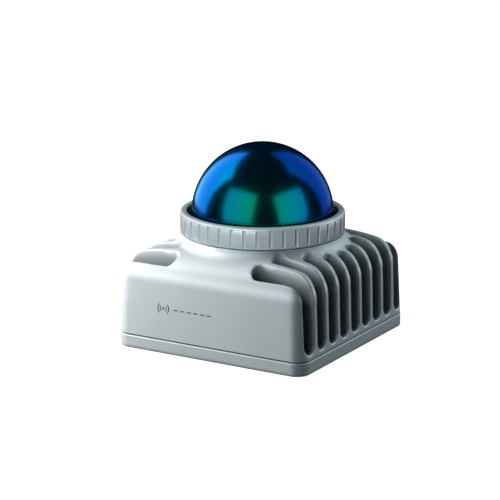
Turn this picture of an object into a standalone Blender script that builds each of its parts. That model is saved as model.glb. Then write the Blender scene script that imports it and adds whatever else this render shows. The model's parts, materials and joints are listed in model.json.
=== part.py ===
"""Compact lidar scanner module: finned cast housing, knurled ring and domed optical window.

Everything is in metres with +Z up. The origin is the centre of the base's underside, the plain
front wall faces -Y, the cooling slots are on the +X and -X sides and the cable connector faces +Y.
A scan head turns about the Z axis under the dome and carries a faceted mirror that turns about X.
"""

import math

import bmesh
import bpy
from mathutils import Matrix, Vector

MM = 0.001
GAP = 0.3 * MM                      # left between faces that meet on the real object

# Body: a square cast housing on a square base plate
BODY_WIDTH = 65.0 * MM
BASE_HEIGHT = 4.05 * MM
NECK_TOP = 32.8 * MM                # shoulder under the ring
CORNER_RADIUS = 4.5 * MM
WALL_LEAN = 0.6 * MM                # how far each wall leans in up to its top round
LEAN_START = 0.1 * MM
EDGE_RADIUS = 4.8 * MM              # round between the walls and the roof
EDGE_SWEEP = math.radians(68)       # angle that the round covers before the roof slope
EDGE_DROP = 9.0 * MM                # centre of the round, below the shoulder
ROOF_STEPS = ((7.65 * MM, 2.93 * MM), (11.4 * MM, 2.0 * MM), (14.9 * MM, 1.7 * MM))
ROOF_BLUR = 0.8                     # how fast the corners round off towards the neck
BASE_CHAMFER = 0.8 * MM
PARTING_CHAMFER = 0.25 * MM

# Cavity inside the housing
FRONT_WALL = 4.0 * MM
SIDE_SKIN = 1.5 * MM                # between the slots and the cavity
CEILING_DROP = 10.8 * MM
CAVITY_RADIUS = 3.0 * MM

# Cooling slots on both sides
SLOT_COUNT = 9
SLOT_WIDTH = 4.95 * MM
SLOT_END_WALL = 2.55 * MM
SLOT_DEPTH = 8.0 * MM
SLOT_SILL = 1.45 * MM               # above the base plate
SLOT_FLOOR_DROP = 8.3 * MM
SLOT_NECK_SPACE = 0.9 * MM          # from the neck to the nearest slot ends
SLOT_SHORTEST_X = 13.0 * MM         # where the end slots stop

# Dome window, its seat on the neck, and the knurled ring
DOME_RADIUS = 21.56 * MM
DOME_WALL = 1.5 * MM
FLANGE_WIDTH = 1.84 * MM
FLANGE_THICKNESS = 1.04 * MM
SEAT_HEIGHT = 4.3 * MM              # spigot above the shoulder
SEAL_WIDTH = 1.0 * MM
SEAL_HEIGHT = 0.5 * MM
SEAL_INSET = 0.6 * MM
RING_HEIGHT = 6.5 * MM
RING_WALL = 1.42 * MM
RING_LIP_OVERLAP = 0.5 * MM         # how far the ring reaches over the flange
RING_CHAMFER = 0.8 * MM
RING_PADS = 40
KNURL_LOW = 0.9 * MM
KNURL_HIGH = 5.3 * MM
GROOVE_WIDTH = 1.1 * MM
GROOVE_DEPTH = 0.45 * MM

# Base fixings and mounting holes
GASKET_WIDTH = 1.4 * MM
GASKET_HEIGHT = 0.7 * MM
GASKET_INSET = 1.6 * MM             # from the outside of the plate to the gasket
SCREW_INSET = 2.6 * MM              # base screws, in from the cavity's corners
SCREW_BOSS_RADIUS = 3.6 * MM
SCREW_RADIUS = 1.15 * MM
SCREW_HEAD_RADIUS = 2.3 * MM
SCREW_HEAD_HEIGHT = 1.4 * MM
SCREW_RECESS = 0.4 * MM
SCREW_LENGTH = 13.0 * MM
MOUNT_PITCH_X = 36.0 * MM           # M3 mounting holes
MOUNT_PITCH_Y = 24.0 * MM
MOUNT_RADIUS = 1.5 * MM
MOUNT_DEPTH = 5.0 * MM
MOUNT_BOSS_RADIUS = 3.2 * MM
MOUNT_BOSS_HEIGHT = 2.1 * MM
LOCATOR_PITCH = 36.0 * MM           # two plain locating holes
LOCATOR_RADIUS = 1.5 * MM
LOCATOR_DEPTH = 2.5 * MM

# Round cable connector in the rear wall
CONNECTOR_RADIUS = 6.0 * MM
CONNECTOR_WALL = 1.4 * MM
CONNECTOR_REACH = 9.5 * MM          # out from the rear wall
CONNECTOR_FLANGE_WIDTH = 2.2 * MM    # out from the barrel
CONNECTOR_FLANGE = 2.2 * MM
CONNECTOR_TAIL = 10.5 * MM          # inwards from the rear wall
REAR_PAD_MARGIN = 1.2 * MM           # round the flange
NUT_WIDTH = 1.45 * MM                # from the barrel to the flats
NUT_SPACE = 0.55 * MM                # from the nut to the ceiling
NUT_HEIGHT = 3.3 * MM
CONTACT_RADIUS = 0.38 * MM
CONTACT_CIRCLES = ((9, 2.9 * MM), (3, 1.15 * MM))
INSERT_THICKNESS = 2.4 * MM

# Main board and what it carries
BOARD_WIDTH = 42.0 * MM
BOARD_THICKNESS = 1.6 * MM
BOARD_LIFT = 3.95 * MM              # underside above the base plate
BOARD_HOLE_PITCH = 37.0 * MM
STANDOFF_RADIUS = 2.2 * MM
BOARD_SCREW_RADIUS = 0.75 * MM
BOARD_SCREW_HEAD = 1.9 * MM
BOARD_SCREW_HEAD_HEIGHT = 1.2 * MM
BOARD_SCREW_DEPTH = 4.3 * MM
CHIP_WIDTH = 14.0 * MM
CHIP_THICKNESS = 1.2 * MM
LASER_BOARD_WIDTH = 18.0 * MM
LASER_BOARD_THICKNESS = 1.0 * MM
LINK_HEIGHT = 1.4 * MM              # board-to-board connector

# Hollow-shaft motor, hung from the housing's ceiling
MOTOR_PLATE_WIDTH = 40.6 * MM
MOTOR_PLATE_THICKNESS = 2.0 * MM
MOTOR_BOSS_HEIGHT = 4.2 * MM
MOTOR_HOLE_PITCH = 35.0 * MM
MOTOR_BOSS_RADIUS = 2.8 * MM
MOTOR_SCREW_RADIUS = 1.0 * MM
MOTOR_SCREW_HEAD = 1.9 * MM
MOTOR_SCREW_HEAD_HEIGHT = 1.3 * MM
TUBE_BORE = 7.0 * MM                # radius of the light path through the motor
TUBE_WALL = 1.5 * MM
TUBE_SHOULDER = 0.9 * MM
TUBE_HEIGHT = 11.7 * MM             # above the plate
STATOR_TEETH = 9
STATOR_LIFT = 2.8 * MM              # above the plate
STATOR_HEIGHT = 3.1 * MM
STATOR_RADIUS = 15.4 * MM
STATOR_CORE_WIDTH = 2.4 * MM
MAGNET_GAP = 0.5 * MM
MAGNET_WIDTH = 1.1 * MM
BELL_WALL = 1.2 * MM
BELL_SPACE = 2.3 * MM               # from the bell to the bore around it
BEARING_WIDTH = 3.2 * MM            # from its bore to its outside
BEARING_HEIGHT = 2.4 * MM
HUB_WALL = 1.5 * MM
WEB_THICKNESS = 1.2 * MM
COIL_WIDTH = 2.3 * MM
COIL_HEIGHT = 1.0 * MM
ENCODER_THICKNESS = 0.5 * MM
ENCODER_SPACE = 1.4 * MM            # from the disc's edge to the bore
READER_WIDTH = 6.0 * MM
READER_DEPTH = 2.5 * MM
READER_HEIGHT = 4.1 * MM
READER_SLOT = 1.5 * MM

# Scan head and faceted mirror
PLATFORM_THICKNESS = 1.6 * MM
PLATFORM_MARGIN = 3.6 * MM          # from the platform's edge to the bore
LIGHT_HOLE_RADIUS = 6.2 * MM
YOKE_BASE_RADIUS = 15.5 * MM
YOKE_BASE_THICKNESS = 1.4 * MM
YOKE_ARM_THICKNESS = 2.0 * MM
YOKE_ARM_WIDTH = 10.0 * MM
YOKE_ARM_TOP = 5.0 * MM             # above the mirror's axis
MIRROR_FACETS = 6
MIRROR_RADIUS = 8.6 * MM
MIRROR_LENGTH = 19.2 * MM
MIRROR_FLOOR = 0.5 * MM             # under the mirror's lowest corner
ARM_SPACE = 0.6 * MM
AXLE_RADIUS = 1.25 * MM
SMALL_BEARING_RADIUS = 3.0 * MM
MIRROR_MOTOR_RADIUS = 5.0 * MM
MIRROR_MOTOR_LENGTH = 3.8 * MM
WEIGHT_THICKNESS = 3.1 * MM
WEIGHT_WIDTH = 9.0 * MM
WEIGHT_HEIGHT = 7.0 * MM
HEAD_BOARD_WIDTH = 18.0 * MM
HEAD_BOARD_HEIGHT = 8.8 * MM
HEAD_BOARD_THICKNESS = 1.0 * MM
HEAD_BOARD_OFFSET = 11.0 * MM

# Optics in the hollow shaft
BARREL_WALL = 1.0 * MM
BARREL_LENGTH = 10.5 * MM
LENS_THICKNESS = 3.0 * MM
LENS_EDGE = 1.2 * MM

# Facets on round pieces
FINE = 48
ROUND = 36
MEDIUM = 24
COARSE = 12
CORNER_STEPS = 4
EDGE_STEPS = 4
SLOT_END_STEPS = 5
DOME_STEPS = 8
SHARP_ANGLE = math.radians(35)

# Places that several pieces share
HALF_WIDTH = BODY_WIDTH / 2
HOUSING_BOTTOM = BASE_HEIGHT + GAP
CAVITY_HALF_X = HALF_WIDTH - SLOT_DEPTH - SIDE_SKIN
CAVITY_HALF_Y = HALF_WIDTH - FRONT_WALL
CEILING = NECK_TOP - CEILING_DROP
SLOT_FLOOR = NECK_TOP - SLOT_FLOOR_DROP
SLOT_PITCH = (BODY_WIDTH - 2 * SLOT_END_WALL - SLOT_WIDTH) / (SLOT_COUNT - 1)
SCREW_X = CAVITY_HALF_X - SCREW_INSET
SCREW_Y = CAVITY_HALF_Y - SCREW_INSET

FLANGE_RADIUS = DOME_RADIUS + FLANGE_WIDTH
SEAT_TOP = NECK_TOP + SEAT_HEIGHT
FLANGE_BOTTOM = SEAT_TOP + GAP
DOME_CENTRE = FLANGE_BOTTOM + FLANGE_THICKNESS
RING_BORE = FLANGE_RADIUS + GAP
RING_RADIUS = RING_BORE + RING_WALL
RING_BOTTOM = NECK_TOP + GAP
NECK_RADIUS = RING_RADIUS - 0.1 * MM

TUBE_RADIUS = TUBE_BORE + TUBE_WALL
MOTOR_PLATE_TOP = CEILING - MOTOR_BOSS_HEIGHT - GAP
MOTOR_PLATE_BOTTOM = MOTOR_PLATE_TOP - MOTOR_PLATE_THICKNESS
STATOR_BOTTOM = MOTOR_PLATE_TOP + STATOR_LIFT
STATOR_TOP = STATOR_BOTTOM + STATOR_HEIGHT
MAGNET_BORE = STATOR_RADIUS + MAGNET_GAP
BELL_BORE = MAGNET_BORE + MAGNET_WIDTH + GAP
BELL_RADIUS = BELL_BORE + BELL_WALL
BORE_RADIUS = BELL_RADIUS + BELL_SPACE
WEB_BOTTOM = STATOR_TOP + GAP
WEB_TOP = WEB_BOTTOM + WEB_THICKNESS
BEARING_BORE = TUBE_RADIUS + GAP
BEARING_RADIUS = BEARING_BORE + BEARING_WIDTH
HUB_BORE = BEARING_RADIUS + GAP
HUB_RADIUS = HUB_BORE + HUB_WALL
LOWER_BEARING_BOTTOM = WEB_BOTTOM + GAP
UPPER_BEARING_BOTTOM = LOWER_BEARING_BOTTOM + BEARING_HEIGHT + GAP
TUBE_TOP = MOTOR_PLATE_TOP + TUBE_HEIGHT
PLATFORM_BOTTOM = TUBE_TOP + 0.4 * MM
PLATFORM_TOP = PLATFORM_BOTTOM + PLATFORM_THICKNESS
PLATFORM_RADIUS = BORE_RADIUS - PLATFORM_MARGIN
ENCODER_BOTTOM = UPPER_BEARING_BOTTOM + GAP
YOKE_BOTTOM = PLATFORM_TOP + GAP
YOKE_FLOOR = YOKE_BOTTOM + YOKE_BASE_THICKNESS
MIRROR_AXIS_HEIGHT = YOKE_FLOOR + MIRROR_FLOOR + MIRROR_RADIUS
ARM_INSIDE = MIRROR_LENGTH / 2 + ARM_SPACE
ARM_OUTSIDE = ARM_INSIDE + YOKE_ARM_THICKNESS

BOARD_BOTTOM = BASE_HEIGHT + BOARD_LIFT
BOARD_TOP = BOARD_BOTTOM + BOARD_THICKNESS
LASER_BOARD_BOTTOM = BOARD_TOP + LINK_HEIGHT + 2 * GAP
LASER_BOARD_TOP = LASER_BOARD_BOTTOM + LASER_BOARD_THICKNESS

CONNECTOR_BORE = CONNECTOR_RADIUS - CONNECTOR_WALL
CONNECTOR_FLANGE_RADIUS = CONNECTOR_RADIUS + CONNECTOR_FLANGE_WIDTH
REAR_PAD_RADIUS = CONNECTOR_FLANGE_RADIUS + REAR_PAD_MARGIN
NUT_RADIUS = (CONNECTOR_RADIUS + NUT_WIDTH) / math.cos(math.pi / 6)
CONNECTOR_HEIGHT = CEILING - NUT_SPACE - CONNECTOR_RADIUS - NUT_WIDTH
CONNECTOR_SEAT = HALF_WIDTH + GAP
CONNECTOR_TIP = HALF_WIDTH + CONNECTOR_REACH
INSERT_BACK = HALF_WIDTH + 1.5 * MM
INSERT_FRONT = INSERT_BACK + INSERT_THICKNESS

# Colour, roughness and metallic value of each finish
FINISHES = {
    "cast_paint": ((0.62, 0.64, 0.66), 0.48, 0.35),
    "bare_aluminium": ((0.70, 0.71, 0.73), 0.35, 1.0),
    "steel": ((0.55, 0.55, 0.56), 0.30, 1.0),
    "brass": ((0.78, 0.60, 0.28), 0.32, 1.0),
    "gold": ((0.90, 0.68, 0.25), 0.25, 1.0),
    "rubber": ((0.03, 0.03, 0.03), 0.80, 0.0),
    "dome_coating": ((0.00, 0.05, 0.09), 0.06, 0.0),
    "black_plastic": ((0.03, 0.03, 0.035), 0.50, 0.0),
    "green_board": ((0.02, 0.18, 0.09), 0.45, 0.0),
    "copper": ((0.80, 0.42, 0.25), 0.35, 1.0),
    "magnet": ((0.30, 0.30, 0.32), 0.40, 1.0),
    "mirror_glass": ((0.90, 0.92, 0.93), 0.04, 1.0),
    "lens_glass": ((0.75, 0.85, 0.88), 0.05, 0.0),
    "silicone_pad": ((0.45, 0.55, 0.70), 0.75, 0.0),
    "wire_sleeve": ((0.06, 0.06, 0.07), 0.60, 0.0),
}

AXIS_TURN = {
    "X": Matrix.Rotation(math.pi / 2, 4, "Y"),
    "Y": Matrix.Rotation(-math.pi / 2, 4, "X"),
    "Z": Matrix.Identity(4),
}


# ---------------------------------------------------------------- shapes

def clear_scene():
    for item in list(bpy.data.objects):
        bpy.data.objects.remove(item, do_unlink=True)


def rounded_square(half_x, half_y, radius, steps=CORNER_STEPS):
    """Outline of a rectangle with round corners, anticlockwise."""
    points = []
    for corner, (sign_x, sign_y) in enumerate(((1, 1), (-1, 1), (-1, -1), (1, -1))):
        for step in range(steps + 1):
            angle = math.pi / 2 * (corner + step / steps)
            x = sign_x * (half_x - radius) + radius * math.cos(angle)
            y = sign_y * (half_y - radius) + radius * math.sin(angle)
            points.append((x, y))
    return points


def circle(radius, steps, x=0.0, y=0.0, turn=0.0):
    """Outline of a regular polygon whose corners lie on a circle."""
    angles = [turn + 2 * math.pi * step / steps for step in range(steps)]
    return [(x + radius * math.cos(angle), y + radius * math.sin(angle)) for angle in angles]


def loft(rings):
    """Closed solid through outlines of equal length, each given with its height."""
    shape = bmesh.new()
    rows = [[shape.verts.new((x, y, z)) for x, y in outline] for outline, z in rings]
    for low, high in zip(rows, rows[1:]):
        for index, vertex in enumerate(low):
            following = (index + 1) % len(low)
            shape.faces.new((vertex, low[following], high[following], high[index]))
    shape.faces.new(list(reversed(rows[0])))
    shape.faces.new(rows[-1])
    return shape


def prism(outline, bottom, top, axis="Z"):
    """Outline pushed from bottom to top along an axis."""
    shape = loft([(outline, bottom), (outline, top)])
    bmesh.ops.transform(shape, matrix=AXIS_TURN[axis], verts=shape.verts)
    return shape


def turned(profile, steps, axis="Z", closed=True, turn=0.0):
    """Body of revolution from (radius, height) points, about the axis through the origin."""
    shape = bmesh.new()
    start = Matrix.Rotation(turn, 3, "Z")
    vertices = [shape.verts.new(start @ Vector((radius, 0, height))) for radius, height in profile]
    pairs = list(zip(vertices, vertices[1:]))
    if closed:
        pairs.append((vertices[-1], vertices[0]))
    edges = [shape.edges.new(pair) for pair in pairs]
    bmesh.ops.spin(shape, geom=vertices + edges, cent=(0, 0, 0), axis=(0, 0, 1),
                   angle=2 * math.pi, steps=steps, use_merge=True)
    bmesh.ops.remove_doubles(shape, verts=shape.verts, dist=1e-7)
    bmesh.ops.transform(shape, matrix=AXIS_TURN[axis], verts=shape.verts)
    return shape


def washer(bore, radius, bottom, top, steps=MEDIUM, axis="Z"):
    profile = ((radius, top), (radius, bottom), (bore, bottom), (bore, top))
    return turned(profile, steps, axis)


def block(low, high):
    """Box between two corners."""
    outline = ((low[0], low[1]), (high[0], low[1]), (high[0], high[1]), (low[0], high[1]))
    return prism(outline, low[2], high[2])


def merged(shapes):
    """Several bodies in one bmesh, used for cutters that work together."""
    result = bmesh.new()
    for shape in shapes:
        mesh = bpy.data.meshes.new("scrap")
        shape.to_mesh(mesh)
        shape.free()
        result.from_mesh(mesh)
        bpy.data.meshes.remove(mesh)
    return result


def four(pitch_x, pitch_y):
    """The four places of a rectangular hole pattern."""
    return [(x * pitch_x / 2, y * pitch_y / 2) for x, y in ((1, 1), (-1, 1), (-1, -1), (1, -1))]


# ---------------------------------------------------------------- objects

def finish_material(name, finish):
    colour, roughness, metallic = FINISHES[finish]
    made = bpy.data.materials.new(name)
    made.use_nodes = True
    shader = made.node_tree.nodes["Principled BSDF"]
    shader.inputs["Base Color"].default_value = (*colour, 1.0)
    shader.inputs["Roughness"].default_value = roughness
    shader.inputs["Metallic"].default_value = metallic
    return made


def bare_object(name, shape, at=(0, 0, 0)):
    """Object from a bmesh, its faces turned outwards and its curved faces smooth."""
    bmesh.ops.recalc_face_normals(shape, faces=shape.faces)
    mesh = bpy.data.meshes.new(name)
    shape.to_mesh(mesh)
    shape.free()
    mesh.shade_smooth()
    mesh.set_sharp_from_angle(angle=SHARP_ANGLE)
    item = bpy.data.objects.new(name, mesh)
    item.location = at
    bpy.context.scene.collection.objects.link(item)
    return item


def piece(name, shape, finish, at=(0, 0, 0), parent=None):
    """Named sub-part with its own material."""
    item = bare_object(name, shape, at)
    item.data.materials.append(finish_material(name, finish))
    item.parent = parent
    return item


def combine(target, operation, name, shape, at=(0, 0, 0)):
    """Add a shape to an object or cut it away."""
    tool = bare_object(name, shape, at)
    tool.parent = target.parent
    tool.hide_render = True
    tool.display_type = "WIRE"
    modifier = target.modifiers.new(name, "BOOLEAN")
    modifier.operation = operation
    modifier.solver = "EXACT"
    modifier.object = tool


def add_to(target, name, shape, at=(0, 0, 0)):
    combine(target, "UNION", name, shape, at)


def cut_from(target, name, shape, at=(0, 0, 0)):
    combine(target, "DIFFERENCE", name, shape, at)


def axis_empty(name, at, parent=None):
    """Empty that marks a joint's axis and carries the pieces that turn about it."""
    empty = bpy.data.objects.new(name, None)
    empty.location = at
    empty.parent = parent
    bpy.context.scene.collection.objects.link(empty)
    return empty


# ---------------------------------------------------------------- housing and base

def body_outline(inset, radius):
    return rounded_square(HALF_WIDTH - inset, HALF_WIDTH - inset, radius)


def housing_skin():
    """Outer form: leaning walls, a round edge and a roof that rises to the neck."""
    centre_inset = LEAN_START + WALL_LEAN + EDGE_RADIUS
    centre_height = NECK_TOP - EDGE_DROP
    rings = [(body_outline(LEAN_START, CORNER_RADIUS), HOUSING_BOTTOM)]
    for step in range(EDGE_STEPS + 1):
        angle = EDGE_SWEEP * step / EDGE_STEPS
        inset = centre_inset - EDGE_RADIUS * math.cos(angle)
        height = centre_height + EDGE_RADIUS * math.sin(angle)
        rings.append((body_outline(inset, CORNER_RADIUS + ROOF_BLUR * inset), height))
    for inset, drop in ROOF_STEPS:
        rings.append((body_outline(inset, CORNER_RADIUS + ROOF_BLUR * inset), NECK_TOP - drop))
    return loft(rings)


def neck():
    """Collar under the ring, flared where it meets the roof, with the spigot on top."""
    flare = ((0.1, 1.3), (0.4, 2.2), (1.0, 2.9), (1.9, 3.6), (3.0, 4.4))
    profile = [(0, SEAT_TOP), (FLANGE_RADIUS, SEAT_TOP), (FLANGE_RADIUS, NECK_TOP)]
    profile.append((NECK_RADIUS, NECK_TOP))
    for spread, drop in flare:
        profile.append((NECK_RADIUS + spread * MM, NECK_TOP - drop * MM))
    foot = CEILING + 1.0 * MM
    profile += [(NECK_RADIUS - 2.0 * MM, foot + 3.0 * MM), (0, foot)]
    return turned(profile, FINE, closed=False)


def slot_centres():
    middle = (SLOT_COUNT - 1) / 2
    return [(index - middle) * SLOT_PITCH for index in range(SLOT_COUNT)]


def stadium(half_length, radius):
    """Slot outline along X, with a round end at -X and a square end at +X."""
    points = [(half_length, -radius), (half_length, radius)]
    for step in range(SLOT_END_STEPS + 1):
        angle = math.pi / 2 + math.pi * step / SLOT_END_STEPS
        points.append((-half_length + radius + radius * math.cos(angle), radius * math.sin(angle)))
    return points


def roof_slots():
    """Upper part of each slot, open upwards, with its round end near the neck."""
    shapes = []
    beyond = HALF_WIDTH + 5.0 * MM
    slot_circle = NECK_RADIUS + SLOT_NECK_SPACE
    for y in slot_centres():
        inner = max(SLOT_SHORTEST_X, math.sqrt(max(slot_circle ** 2 - y ** 2, 0.0)))
        half = (beyond - inner) / 2
        for side in (1, -1):
            outline = [(side * (px + inner + half), py + y)
                       for px, py in stadium(half, SLOT_WIDTH / 2)]
            shapes.append(prism(outline, SLOT_FLOOR, SEAT_TOP))
    return merged(shapes)


def side_slots():
    """Lower part of each slot, open sideways, with its round end at the sill."""
    shapes = []
    bottom = HOUSING_BOTTOM + SLOT_SILL
    top = SEAT_TOP - 0.5 * MM
    half = (top - bottom) / 2
    for y in slot_centres():
        for side in (1, -1):
            outline = [(-(px + bottom + half), py + y) for px, py in stadium(half, SLOT_WIDTH / 2)]
            reach = sorted((side * (HALF_WIDTH - SLOT_DEPTH), side * (HALF_WIDTH + 5.0 * MM)))
            shapes.append(prism(outline, *reach, axis="X"))
    return merged(shapes)


def housing():
    body = piece("housing", housing_skin(), "cast_paint")
    add_to(body, "neck_form", neck())
    pad_drop = CONNECTOR_HEIGHT - HOUSING_BOTTOM
    pad_outline = [(x, min(y, pad_drop)) for x, y in circle(REAR_PAD_RADIUS, MEDIUM)]
    pad = prism(pad_outline, CAVITY_HALF_Y + 1.0 * MM, HALF_WIDTH, "Y")
    add_to(body, "rear_pad_form", pad, (0, 0, CONNECTOR_HEIGHT))
    cavity = prism(rounded_square(CAVITY_HALF_X, CAVITY_HALF_Y, CAVITY_RADIUS), 0, CEILING)
    cut_from(body, "cavity_cutter", cavity)
    bore = prism(circle(BORE_RADIUS, FINE), CEILING - 1.0 * MM, SEAT_TOP + 1.0 * MM)
    cut_from(body, "bore_cutter", bore)
    cut_from(body, "roof_slot_cutter", roof_slots())
    cut_from(body, "side_slot_cutter", side_slots())

    boss_root = CEILING + 1.0 * MM
    screw_places = four(2 * SCREW_X, 2 * SCREW_Y)
    bosses = [prism(circle(SCREW_BOSS_RADIUS, COARSE, x, y), HOUSING_BOTTOM + GAP, boss_root)
              for x, y in screw_places]
    motor_places = four(MOTOR_HOLE_PITCH, MOTOR_HOLE_PITCH)
    boss_foot = CEILING - MOTOR_BOSS_HEIGHT
    bosses += [prism(circle(MOTOR_BOSS_RADIUS, COARSE, x, y), boss_foot, boss_root)
               for x, y in motor_places]
    add_to(body, "boss_forms", merged(bosses))

    screw_top = SCREW_RECESS + SCREW_LENGTH + GAP
    holes = [prism(circle(SCREW_RADIUS + GAP, COARSE, x, y), 0, screw_top)
             for x, y in screw_places]
    holes += [prism(circle(MOTOR_SCREW_RADIUS + GAP, COARSE, x, y), boss_foot - GAP, CEILING - GAP)
              for x, y in motor_places]
    holes.append(prism(circle(CONNECTOR_RADIUS + 0.1 * MM, MEDIUM, 0, -CONNECTOR_HEIGHT),
                       CAVITY_HALF_Y - 1.0 * MM, HALF_WIDTH + 1.0 * MM, "Y"))
    cut_from(body, "hole_cutter", merged(holes))
    groove = washer(FLANGE_RADIUS - SEAL_INSET - SEAL_WIDTH - GAP, FLANGE_RADIUS - SEAL_INSET + GAP,
                    SEAT_TOP - SEAL_HEIGHT - GAP, SEAT_TOP + GAP, FINE)
    cut_from(body, "seal_groove_cutter", groove)


def base_plate():
    """Flat plate with a gasket groove, recessed screws and threaded mounting holes."""
    plate = piece("base_plate", loft((
        (body_outline(BASE_CHAMFER, CORNER_RADIUS), 0),
        (body_outline(0, CORNER_RADIUS), BASE_CHAMFER),
        (body_outline(0, CORNER_RADIUS), BASE_HEIGHT - PARTING_CHAMFER),
        (body_outline(PARTING_CHAMFER, CORNER_RADIUS), BASE_HEIGHT),
    )), "cast_paint")
    mount_places = four(MOUNT_PITCH_X, MOUNT_PITCH_Y)
    boss_top = BASE_HEIGHT + MOUNT_BOSS_HEIGHT
    add_to(plate, "mount_boss_forms", merged(
        [prism(circle(MOUNT_BOSS_RADIUS, COARSE, x, y), BASE_HEIGHT - 1.0 * MM, boss_top)
         for x, y in mount_places]))
    below = -1.0 * MM
    holes = [prism(circle(MOUNT_RADIUS, COARSE, x, y), below, MOUNT_DEPTH)
             for x, y in mount_places]
    holes += [prism(circle(LOCATOR_RADIUS, COARSE, 0, side * LOCATOR_PITCH / 2), below,
                    LOCATOR_DEPTH) for side in (1, -1)]
    shaft = SCREW_RADIUS + GAP
    head = SCREW_HEAD_RADIUS + GAP
    shelf = SCREW_RECESS + SCREW_HEAD_HEIGHT + GAP
    stepped = ((0, BASE_HEIGHT + 1.0 * MM), (shaft, BASE_HEIGHT + 1.0 * MM), (shaft, shelf),
               (head, shelf), (head, below), (0, below))
    for x, y in four(2 * SCREW_X, 2 * SCREW_Y):
        hole = turned(stepped, COARSE, closed=False)
        bmesh.ops.translate(hole, vec=(x, y, 0), verts=hole.verts)
        holes.append(hole)
    cut_from(plate, "base_hole_cutter", merged(holes))
    cut_from(plate, "gasket_groove_cutter", square_ring(
        GASKET_INSET - GAP, GASKET_WIDTH + 2 * GAP, BASE_HEIGHT - GASKET_HEIGHT - GAP,
        BASE_HEIGHT + 1.0 * MM))


def square_ring(inset, width, bottom, top):
    """Square ring that follows the body's outline."""
    outer = body_outline(inset, CORNER_RADIUS)
    inner = body_outline(inset + width, CORNER_RADIUS)
    shape = bmesh.new()
    rows = [[shape.verts.new((x, y, z)) for x, y in outline]
            for outline, z in ((outer, bottom), (outer, top), (inner, top), (inner, bottom))]
    for index, row in enumerate(rows):
        across = rows[(index + 1) % len(rows)]
        for step, vertex in enumerate(row):
            following = (step + 1) % len(row)
            shape.faces.new((vertex, row[following], across[following], across[step]))
    return shape


def base_fixings():
    gasket_bottom = BASE_HEIGHT - GASKET_HEIGHT
    piece("base_gasket", square_ring(GASKET_INSET, GASKET_WIDTH, gasket_bottom, BASE_HEIGHT),
          "rubber")
    shelf = SCREW_RECESS + SCREW_HEAD_HEIGHT
    socket = 0.9 * MM
    profile = ((0, SCREW_RECESS + 0.7 * MM), (socket, SCREW_RECESS + 0.7 * MM),
               (socket, SCREW_RECESS), (SCREW_HEAD_RADIUS, SCREW_RECESS),
               (SCREW_HEAD_RADIUS, shelf), (SCREW_RADIUS, shelf),
               (SCREW_RADIUS, SCREW_RECESS + SCREW_LENGTH), (0, SCREW_RECESS + SCREW_LENGTH))
    for number, (x, y) in enumerate(four(2 * SCREW_X, 2 * SCREW_Y), 1):
        piece(f"base_screw_{number}", turned(profile, COARSE, closed=False), "steel", (x, y, 0))


# ---------------------------------------------------------------- dome and ring

def dome_profile():
    def arc(radius, steps):
        return [(radius * math.sin(math.pi / 2 * step / steps),
                 DOME_CENTRE + radius * math.cos(math.pi / 2 * step / steps))
                for step in range(steps + 1)]

    inside = arc(DOME_RADIUS - DOME_WALL, DOME_STEPS - 2)
    profile = arc(DOME_RADIUS, DOME_STEPS)
    profile[0] = (0, DOME_CENTRE + DOME_RADIUS)
    inside[0] = (0, DOME_CENTRE + DOME_RADIUS - DOME_WALL)
    profile += [(FLANGE_RADIUS, DOME_CENTRE), (FLANGE_RADIUS, FLANGE_BOTTOM)]
    profile.append((DOME_RADIUS - DOME_WALL, FLANGE_BOTTOM))
    profile += list(reversed(inside))
    return profile


def dome_and_ring():
    piece("dome_window", turned(dome_profile(), ROUND, closed=False), "dome_coating")
    seal_radius = FLANGE_RADIUS - SEAL_INSET
    piece("dome_seal", washer(seal_radius - SEAL_WIDTH, seal_radius, SEAT_TOP - SEAL_HEIGHT,
                              SEAT_TOP, ROUND), "rubber")
    top = RING_BOTTOM + RING_HEIGHT
    lip_radius = FLANGE_RADIUS - RING_LIP_OVERLAP
    lip_bottom = DOME_CENTRE + GAP
    profile = ((RING_RADIUS, top - RING_CHAMFER), (RING_RADIUS, RING_BOTTOM),
               (RING_BORE, RING_BOTTOM), (RING_BORE, lip_bottom), (lip_radius, lip_bottom),
               (lip_radius, top), (RING_RADIUS - RING_CHAMFER, top))
    half_pad = math.pi / RING_PADS
    ring = piece("retaining_ring", turned(profile, RING_PADS, turn=half_pad), "cast_paint")
    grooves = []
    for index in range(RING_PADS):
        groove = block((RING_RADIUS - GROOVE_DEPTH, -GROOVE_WIDTH / 2, RING_BOTTOM + KNURL_LOW),
                       (RING_RADIUS + GROOVE_DEPTH, GROOVE_WIDTH / 2, RING_BOTTOM + KNURL_HIGH))
        turn = Matrix.Rotation(2 * math.pi * index / RING_PADS + half_pad, 4, "Z")
        bmesh.ops.transform(groove, matrix=turn, verts=groove.verts)
        grooves.append(groove)
    cut_from(ring, "knurl_cutter", merged(grooves))


# ---------------------------------------------------------------- rear connector

def contact_places():
    return [point for count, radius in CONTACT_CIRCLES for point in circle(radius, count)]


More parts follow.
